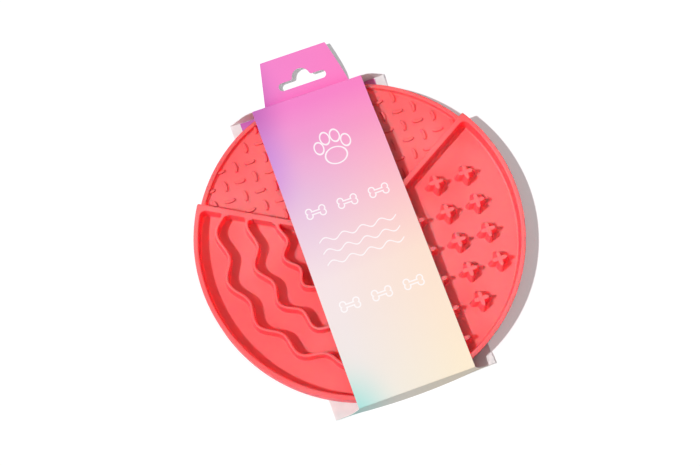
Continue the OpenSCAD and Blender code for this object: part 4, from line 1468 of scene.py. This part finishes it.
def motif_group():
    """Line motifs: one large paw, rows of small bones and thin waves; the mask is 1 on a line."""
    tree, given, made = new_group("Line motifs", [("Position", VECTOR)], [("Mask", FLOAT)])
    split = add_node(tree, "ShaderNodeSeparateXYZ")
    tree.links.new(given.outputs["Position"], split.inputs[0])
    x, y = split.outputs["X"], split.outputs["Y"]
    masks = []
    paw_x = math_node(tree, "SUBTRACT", x, PAW_PLACE[0])
    paw_y = math_node(tree, "SUBTRACT", y, PAW_PLACE[1])
    left_toes = tuple((-toe[0], *toe[1:]) for toe in PAW_TOES)
    for x_middle, y_middle, wide, high in (PAW_PAD, *left_toes, *PAW_TOES):
        distance = ellipse_distance(tree, paw_x, paw_y, (x_middle, y_middle), (wide, high))
        masks.append(outline_mask(tree, distance))

    column = math_node(tree, "ROUND", math_node(tree, "DIVIDE", x, BONE_PITCH))
    bone_x = math_node(tree, "SUBTRACT", x, math_node(tree, "MULTIPLY", column, BONE_PITCH))
    row_half = BONE_PITCH * BONE_COLUMNS / 2
    in_row = math_node(tree, "LESS_THAN", math_node(tree, "ABSOLUTE", x), row_half)
    for row in BONE_ROWS:
        bone = bone_distance(tree, bone_x, math_node(tree, "SUBTRACT", y, row))
        masks.append(math_node(tree, "MULTIPLY", outline_mask(tree, bone), in_row))

    angle = math_node(tree, "MULTIPLY", x, 2 * math.pi / WAVE_LENGTH)
    swing = math_node(tree, "MULTIPLY", math_node(tree, "SINE", angle), WAVE_SWING)
    in_wave = math_node(tree, "LESS_THAN", math_node(tree, "ABSOLUTE", x), WAVE_HALF)
    for row in WAVE_ROWS:
        off = math_node(tree, "SUBTRACT", math_node(tree, "SUBTRACT", y, row), swing)
        masks.append(math_node(tree, "MULTIPLY", outline_mask(tree, off), in_wave))

    mask = masks[0]
    for other in masks[1:]:
        mask = math_node(tree, "MAXIMUM", mask, other)
    tree.links.new(mask, made.inputs["Mask"])
    return tree


def new_material(name):
    """A material with its Principled shader and its texture position."""
    material = bpy.data.materials.new(name)
    material.use_nodes = True
    tree = material.node_tree
    position = add_node(tree, "ShaderNodeTexCoord", (-1200, 0)).outputs["Object"]
    return material, tree, tree.nodes["Principled BSDF"], position


def add_bump(tree, shader, height, strength, distance):
    """Feeds a height into the shader's normal."""
    bump = add_node(tree, "ShaderNodeBump", (-250, -300))
    bump.inputs["Strength"].default_value = strength
    bump.inputs["Distance"].default_value = distance
    tree.links.new(height, bump.inputs["Height"])
    tree.links.new(bump.outputs["Normal"], shader.inputs["Normal"])


# How light scatters inside the silicone: the method, its weight and how far red light runs on
DEEP_SCATTER = ("BURLEY", 1, 12 * MM)
FINE_SCATTER = ("RANDOM_WALK", 0.35, 1 * MM)
# How far red, green and blue light run on, in parts of red's reach
SCATTER_SHARES = (1, 0.012, 0.08)
# Between which steepnesses to the eye the deep coral of painted shade comes in, and how much of it
# at the most
STEEP_FROM, STEEP_TO, PAINTED_SHADE_SHARE = 0.25, 0.9, 0.75
# Strength and height of the fine grain on silicone, print and bare board
SILICONE_GRAIN = (0.12, 0.06 * MM)
PRINT_GRAIN = (0.08, 0.04 * MM)
BOARD_GRAIN = (0.25, 0.05 * MM)
# Grains and mottles to the metre on silicone, on print, on bare board and on its cut edges
SILICONE_SCALES, PRINT_SCALES = (2600, 16), (1800, 40)
BARE_SCALES, EDGE_SCALES = (1500, 120), (4000, 120)


def silicone_material(finishes, name, scatter):
    """Soft coral silicone: it lets light on inside, with a satin bloom, a faint mottle and a painted
    shade that deepens its colour on sides seen at a flat angle.

    Its back faces are clear, so that where two features of the moulding overlap, the one doesn't
    shade the other's inside.
    """
    material, tree, shader, position = new_material(name)
    grain = use_grain(tree, position, SILICONE_SCALES)
    colour = mix_colours(tree, grain.outputs["Mottle"], finishes.coral, finishes.coral_pale)
    # Painted shade: deeper coral on sides seen at a flat angle, through the Layer Weight's facing
    painted_flank_shade = add_node(tree, "ShaderNodeMapRange", interpolation_type="SMOOTHSTEP")
    facing = add_node(tree, "ShaderNodeLayerWeight").outputs["Facing"]
    tree.links.new(facing, painted_flank_shade.inputs["Value"])
    painted_flank_shade.inputs["From Min"].default_value = STEEP_FROM
    painted_flank_shade.inputs["From Max"].default_value = STEEP_TO
    painted_flank_shade.inputs["To Max"].default_value = PAINTED_SHADE_SHARE
    colour = mix_colours(tree, painted_flank_shade.outputs["Result"], colour, finishes.coral_painted_shade)
    tree.links.new(colour, shader.inputs["Base Color"])
    shader.inputs["Roughness"].default_value = 0.5
    shader.inputs["IOR"].default_value = 1.41
    method, weight, reach = scatter
    shader.subsurface_method = method
    shader.inputs["Subsurface Weight"].default_value = weight
    shader.inputs["Subsurface Radius"].default_value = SCATTER_SHARES
    shader.inputs["Subsurface Scale"].default_value = reach
    shader.inputs["Specular IOR Level"].default_value = 0.3
    shader.inputs["Sheen Weight"].default_value = 0.05
    shader.inputs["Sheen Roughness"].default_value = 0.5
    add_bump(tree, shader, grain.outputs["Height"], *SILICONE_GRAIN)
    behind = add_node(tree, "ShaderNodeNewGeometry").outputs["Backfacing"]
    tree.links.new(math_node(tree, "SUBTRACT", 1, behind), shader.inputs["Alpha"])
    return material


# How white the motifs' lines are, and the print's roughness and how much the mottle adds to it
MOTIF_STRENGTH = 0.85
PRINT_ROUGHNESS, PRINT_MOTTLE = 0.42, 0.06
# Tone of the board's darker fibres, in parts of its own
FIBRE_TONE = 0.96


def print_material(finishes, name, motif):
    """Printed board with a satin coat; the line motifs are left in white where motif is set."""
    material, tree, shader, position = new_material(name)
    tints = use_group(tree, bpy.data.node_groups["Tint print"], position=position)
    colour = tints.outputs["Color"]
    if motif:
        lines = use_group(tree, bpy.data.node_groups["Line motifs"], position=position)
        faded = math_node(tree, "MULTIPLY", lines.outputs["Mask"], MOTIF_STRENGTH)
        colour = mix_colours(tree, faded, colour, finishes.print_motif)
    grain = use_grain(tree, position, PRINT_SCALES)
    tree.links.new(colour, shader.inputs["Base Color"])
    mottle = grain.outputs["Mottle"]
    rough = math_node(tree, "MULTIPLY_ADD", mottle, PRINT_MOTTLE, PRINT_ROUGHNESS)
    tree.links.new(rough, shader.inputs["Roughness"])
    shader.inputs["Coat Weight"].default_value = 0.15
    shader.inputs["Coat Roughness"].default_value = 0.35
    add_bump(tree, shader, grain.outputs["Height"], *PRINT_GRAIN)
    return material


def board_material(name, tone, scales):
    """Bare paperboard with its short fibres, which lets a little light through."""
    material, tree, shader, position = new_material(name)
    grain = use_grain(tree, position, scales)
    darker = tuple(c * FIBRE_TONE for c in tone)
    colour = mix_colours(tree, grain.outputs["Mottle"], darker, tuple(tone))
    tree.links.new(colour, shader.inputs["Base Color"])
    shader.inputs["Roughness"].default_value = 0.85
    shader.inputs["Subsurface Weight"].default_value = 1
    shader.inputs["Subsurface Radius"].default_value = (1, 1, 1)
    shader.inputs["Subsurface Scale"].default_value = 1 * MM
    add_bump(tree, shader, grain.outputs["Height"], *BOARD_GRAIN)
    return material


# A faint glow of the floor for the camera alone, so that lit floor is as white as the background
FLOOR_GLOW = 0.2


def floor_material(tone):
    """The plain pale floor."""
    material, tree, shader, position = new_material("floor_white")
    shader.inputs["Base Color"].default_value = (*tone, 1)
    shader.inputs["Roughness"].default_value = 0.9
    shader.inputs["Specular IOR Level"].default_value = 0.2
    shader.inputs["Emission Color"].default_value = (1, 1, 1, 1)
    seen = add_node(tree, "ShaderNodeLightPath").outputs["Is Camera Ray"]
    tree.links.new(math_node(tree, "MULTIPLY", seen, FLOOR_GLOW), shader.inputs["Emission Strength"])
    return material


def silicone(scatter=DEEP_SCATTER):
    """The silicone material for large or for small features, made when it is first asked for."""
    name = "coral_silicone" if scatter == DEEP_SCATTER else "coral_silicone_fine"
    return [bpy.data.materials.get(name)
            or silicone_material(bpy.context.scene.lick_mat_finishes, name, scatter)]


def card_materials():
    """Printed outside, bare inside and cut edge of the card, made when first asked for."""
    finishes = bpy.context.scene.lick_mat_finishes
    made = bpy.data.materials.get("printed_card")
    if not made:
        made = print_material(finishes, "printed_card", True)
        board_material("bare_card", finishes.card_bare, BARE_SCALES)
        board_material("card_edge", finishes.card_edge, EDGE_SCALES)
    return [made, bpy.data.materials["bare_card"], bpy.data.materials["card_edge"]]


class MakeMaterialGroups(bpy.types.Operator):
    """Builds the shared shader groups: grain, tint print and line motifs"""

    bl_idname = "lick_mat.material_groups"
    bl_label = "Material groups"

    def execute(self, context):
        if "Fine grain" not in bpy.data.node_groups:
            grain_group()
            tint_print_group(context.scene.lick_mat_finishes)
            motif_group()
        return {"FINISHED"}


class MakeTrayWalls(bpy.types.Operator):
    """Builds the high rims and the three dividers"""

    bl_idname = "lick_mat.tray_walls"
    bl_label = "Tray walls"

    def execute(self, context):
        build_tray_walls(context.scene.lick_mat_sizes, silicone())
        return {"FINISHED"}


class MakeLowRim(bpy.types.Operator):
    """Builds the low rim on the hang side"""

    bl_idname = "lick_mat.low_rim"
    bl_label = "Low rim"

    def execute(self, context):
        build_low_rim(context.scene.lick_mat_sizes, silicone())
        return {"FINISHED"}


class MakeTrayFloor(bpy.types.Operator):
    """Builds the floor of the trays"""

    bl_idname = "lick_mat.tray_floor"
    bl_label = "Tray floor"

    def execute(self, context):
        build_tray_floor(context.scene.lick_mat_sizes, silicone())
        return {"FINISHED"}


class MakeRidges(bpy.types.Operator):
    """Builds the wavy ridges"""

    bl_idname = "lick_mat.ridges"
    bl_label = "Wavy ridges"

    def execute(self, context):
        for number in range(len(WAVE_DEGREES)):
            build_ridge(context.scene.lick_mat_sizes, silicone(), number)
        return {"FINISHED"}


class MakeStuds(bpy.types.Operator):
    """Builds the cross studs"""

    bl_idname = "lick_mat.studs"
    bl_label = "Cross studs"

    def execute(self, context):
        build_studs(context.scene.lick_mat_sizes, silicone())
        return {"FINISHED"}


class MakeDashes(bpy.types.Operator):
    """Builds the curved dashes"""

    bl_idname = "lick_mat.dashes"
    bl_label = "Curved dashes"

    def execute(self, context):
        build_dashes(context.scene.lick_mat_sizes, silicone(FINE_SCATTER))
        return {"FINISHED"}


class MakeCups(bpy.types.Operator):
    """Builds the suction cups under the floor"""

    bl_idname = "lick_mat.cups"
    bl_label = "Suction cups"

    def execute(self, context):
        build_cups(context.scene.lick_mat_sizes, silicone(FINE_SCATTER))
        return {"FINISHED"}


class MakeSleeve(bpy.types.Operator):
    """Builds the printed card sleeve"""

    bl_idname = "lick_mat.sleeve"
    bl_label = "Card sleeve"

    def execute(self, context):
        build_sleeve_wrap(context.scene.lick_mat_sleeve, card_materials())
        build_back_panel(context.scene.lick_mat_sleeve, card_materials())
        return {"FINISHED"}


class MakeHanger(bpy.types.Operator):
    """Builds the hanger card with its hang tab"""

    bl_idname = "lick_mat.hanger"
    bl_label = "Hanger card"

    def execute(self, context):
        finishes = context.scene.lick_mat_finishes
        printed = print_material(finishes, "printed_hanger", False)
        materials = [printed] + card_materials()[1:]
        build_hanger(context.scene.lick_mat_sleeve, materials)
        return {"FINISHED"}


class MakeStage(bpy.types.Operator):
    """Builds the camera, the lights and the floor"""

    bl_idname = "lick_mat.stage"
    bl_label = "Stage"

    def execute(self, context):
        sizes = context.scene.lick_mat_stage
        add_camera(sizes)
        add_lights(sizes)
        add_floor(sizes)
        context.scene.view_settings.view_transform = "Standard"
        return {"FINISHED"}


# Width of the camera's sensor in millimetres
SENSOR_W = 36


def add_camera(sizes):
    """Sets the camera at the photograph's viewing angle."""
    data = bpy.data.cameras.new("camera")
    data.lens = sizes.lens
    data.sensor_width = SENSOR_W
    camera = bpy.data.objects.new("camera", data)
    turn = (Matrix.Rotation(sizes.camera_heading, 4, "Z")
            @ Matrix.Rotation(sizes.camera_tilt, 4, "X")
            @ Matrix.Rotation(sizes.camera_roll, 4, "Z"))
    camera.matrix_world = Matrix.Translation(sizes.camera_place) @ turn
    bpy.context.scene.collection.objects.link(camera)
    bpy.context.scene.camera = camera


def add_lights(sizes):
    """One crisp key light and an even sky, which the camera and mirrored rays see as white."""
    data = bpy.data.lights.new("key_light", "SUN")
    data.energy = sizes.sun_strength
    data.angle = sizes.sun_size
    light = bpy.data.objects.new("key_light", data)
    down = Vector((*sizes.sun_slope, -1))
    light.rotation_euler = down.to_track_quat("-Z", "Y").to_euler()
    bpy.context.scene.collection.objects.link(light)

    world = bpy.data.worlds.new("sky")
    world.use_nodes = True
    tree = world.node_tree
    tree.nodes.clear()
    path = add_node(tree, "ShaderNodeLightPath")
    seen, mirrored = path.outputs["Is Camera Ray"], path.outputs["Is Glossy Ray"]
    strength = math_node(tree, "MAXIMUM", seen, mirrored)
    span = 1 - sizes.sky_strength
    strength = math_node(tree, "MULTIPLY_ADD", strength, span, sizes.sky_strength)
    background = add_node(tree, "ShaderNodeBackground")
    background.inputs["Color"].default_value = (1, 1, 1, 1)
    tree.links.new(strength, background.inputs["Strength"])
    output = add_node(tree, "ShaderNodeOutputWorld")
    tree.links.new(background.outputs[0], output.inputs["Surface"])
    bpy.context.scene.world = world


# How far the floor lies under the pack, so that no two faces coincide
FLOOR_GAP = 0.05 * MM


def add_floor(sizes):
    """A plain pale floor under the pack."""
    half = sizes.floor_size / 2
    mesh = bpy.data.meshes.new("floor")
    corners = [(-half, -half, 0), (half, -half, 0), (half, half, 0), (-half, half, 0)]
    mesh.from_pydata(corners, [], [(0, 1, 2, 3)])
    mesh.materials.append(floor_material(sizes.floor_tint))
    floor = bpy.data.objects.new("floor", mesh)
    floor.location.z = -FLOOR_GAP
    bpy.context.scene.collection.objects.link(floor)


class LickMatPanel(bpy.types.Panel):
    """Lists the steps that build the lick mat and its sleeve"""

    bl_idname = "VIEW3D_PT_lick_mat"
    bl_label = "Lick mat"
    bl_space_type = "VIEW_3D"
    bl_region_type = "UI"
    bl_category = "Lick mat"

    def draw(self, context):
        for step in STEPS:
            self.layout.operator(step.bl_idname)


# The operators in the order in which main() calls them
STEPS = (
    MakeStage, MakeMaterialGroups, MakeTrayFloor, MakeTrayWalls, MakeLowRim, MakeRidges,
    MakeStuds, MakeDashes, MakeCups, MakeSleeve, MakeHanger,
)
GROUPS = (
    ("lick_mat_sizes", MatSizes), ("lick_mat_sleeve", SleeveSizes),
    ("lick_mat_finishes", Finishes), ("lick_mat_stage", StageSizes),
)


def register():
    """Registers the properties, the operators and the panel."""
    for name, group in GROUPS:
        bpy.utils.register_class(group)
        setattr(bpy.types.Scene, name, PointerProperty(type=group))
    for step in STEPS:
        bpy.utils.register_class(step)
    bpy.utils.register_class(LickMatPanel)


def unregister():
    """Takes back what register() does, in the opposite order."""
    bpy.utils.unregister_class(LickMatPanel)
    for step in reversed(STEPS):
        bpy.utils.unregister_class(step)
    for name, group in reversed(GROUPS):
        delattr(bpy.types.Scene, name)
        bpy.utils.unregister_class(group)


def main():
    """Builds the whole scene, one operator at a time."""
    register()
    for step in STEPS:
        family, name = step.bl_idname.split(".")
        getattr(getattr(bpy.ops, family), name)()
    bpy.context.view_layer.update()


if __name__ == "__main__":
    main()
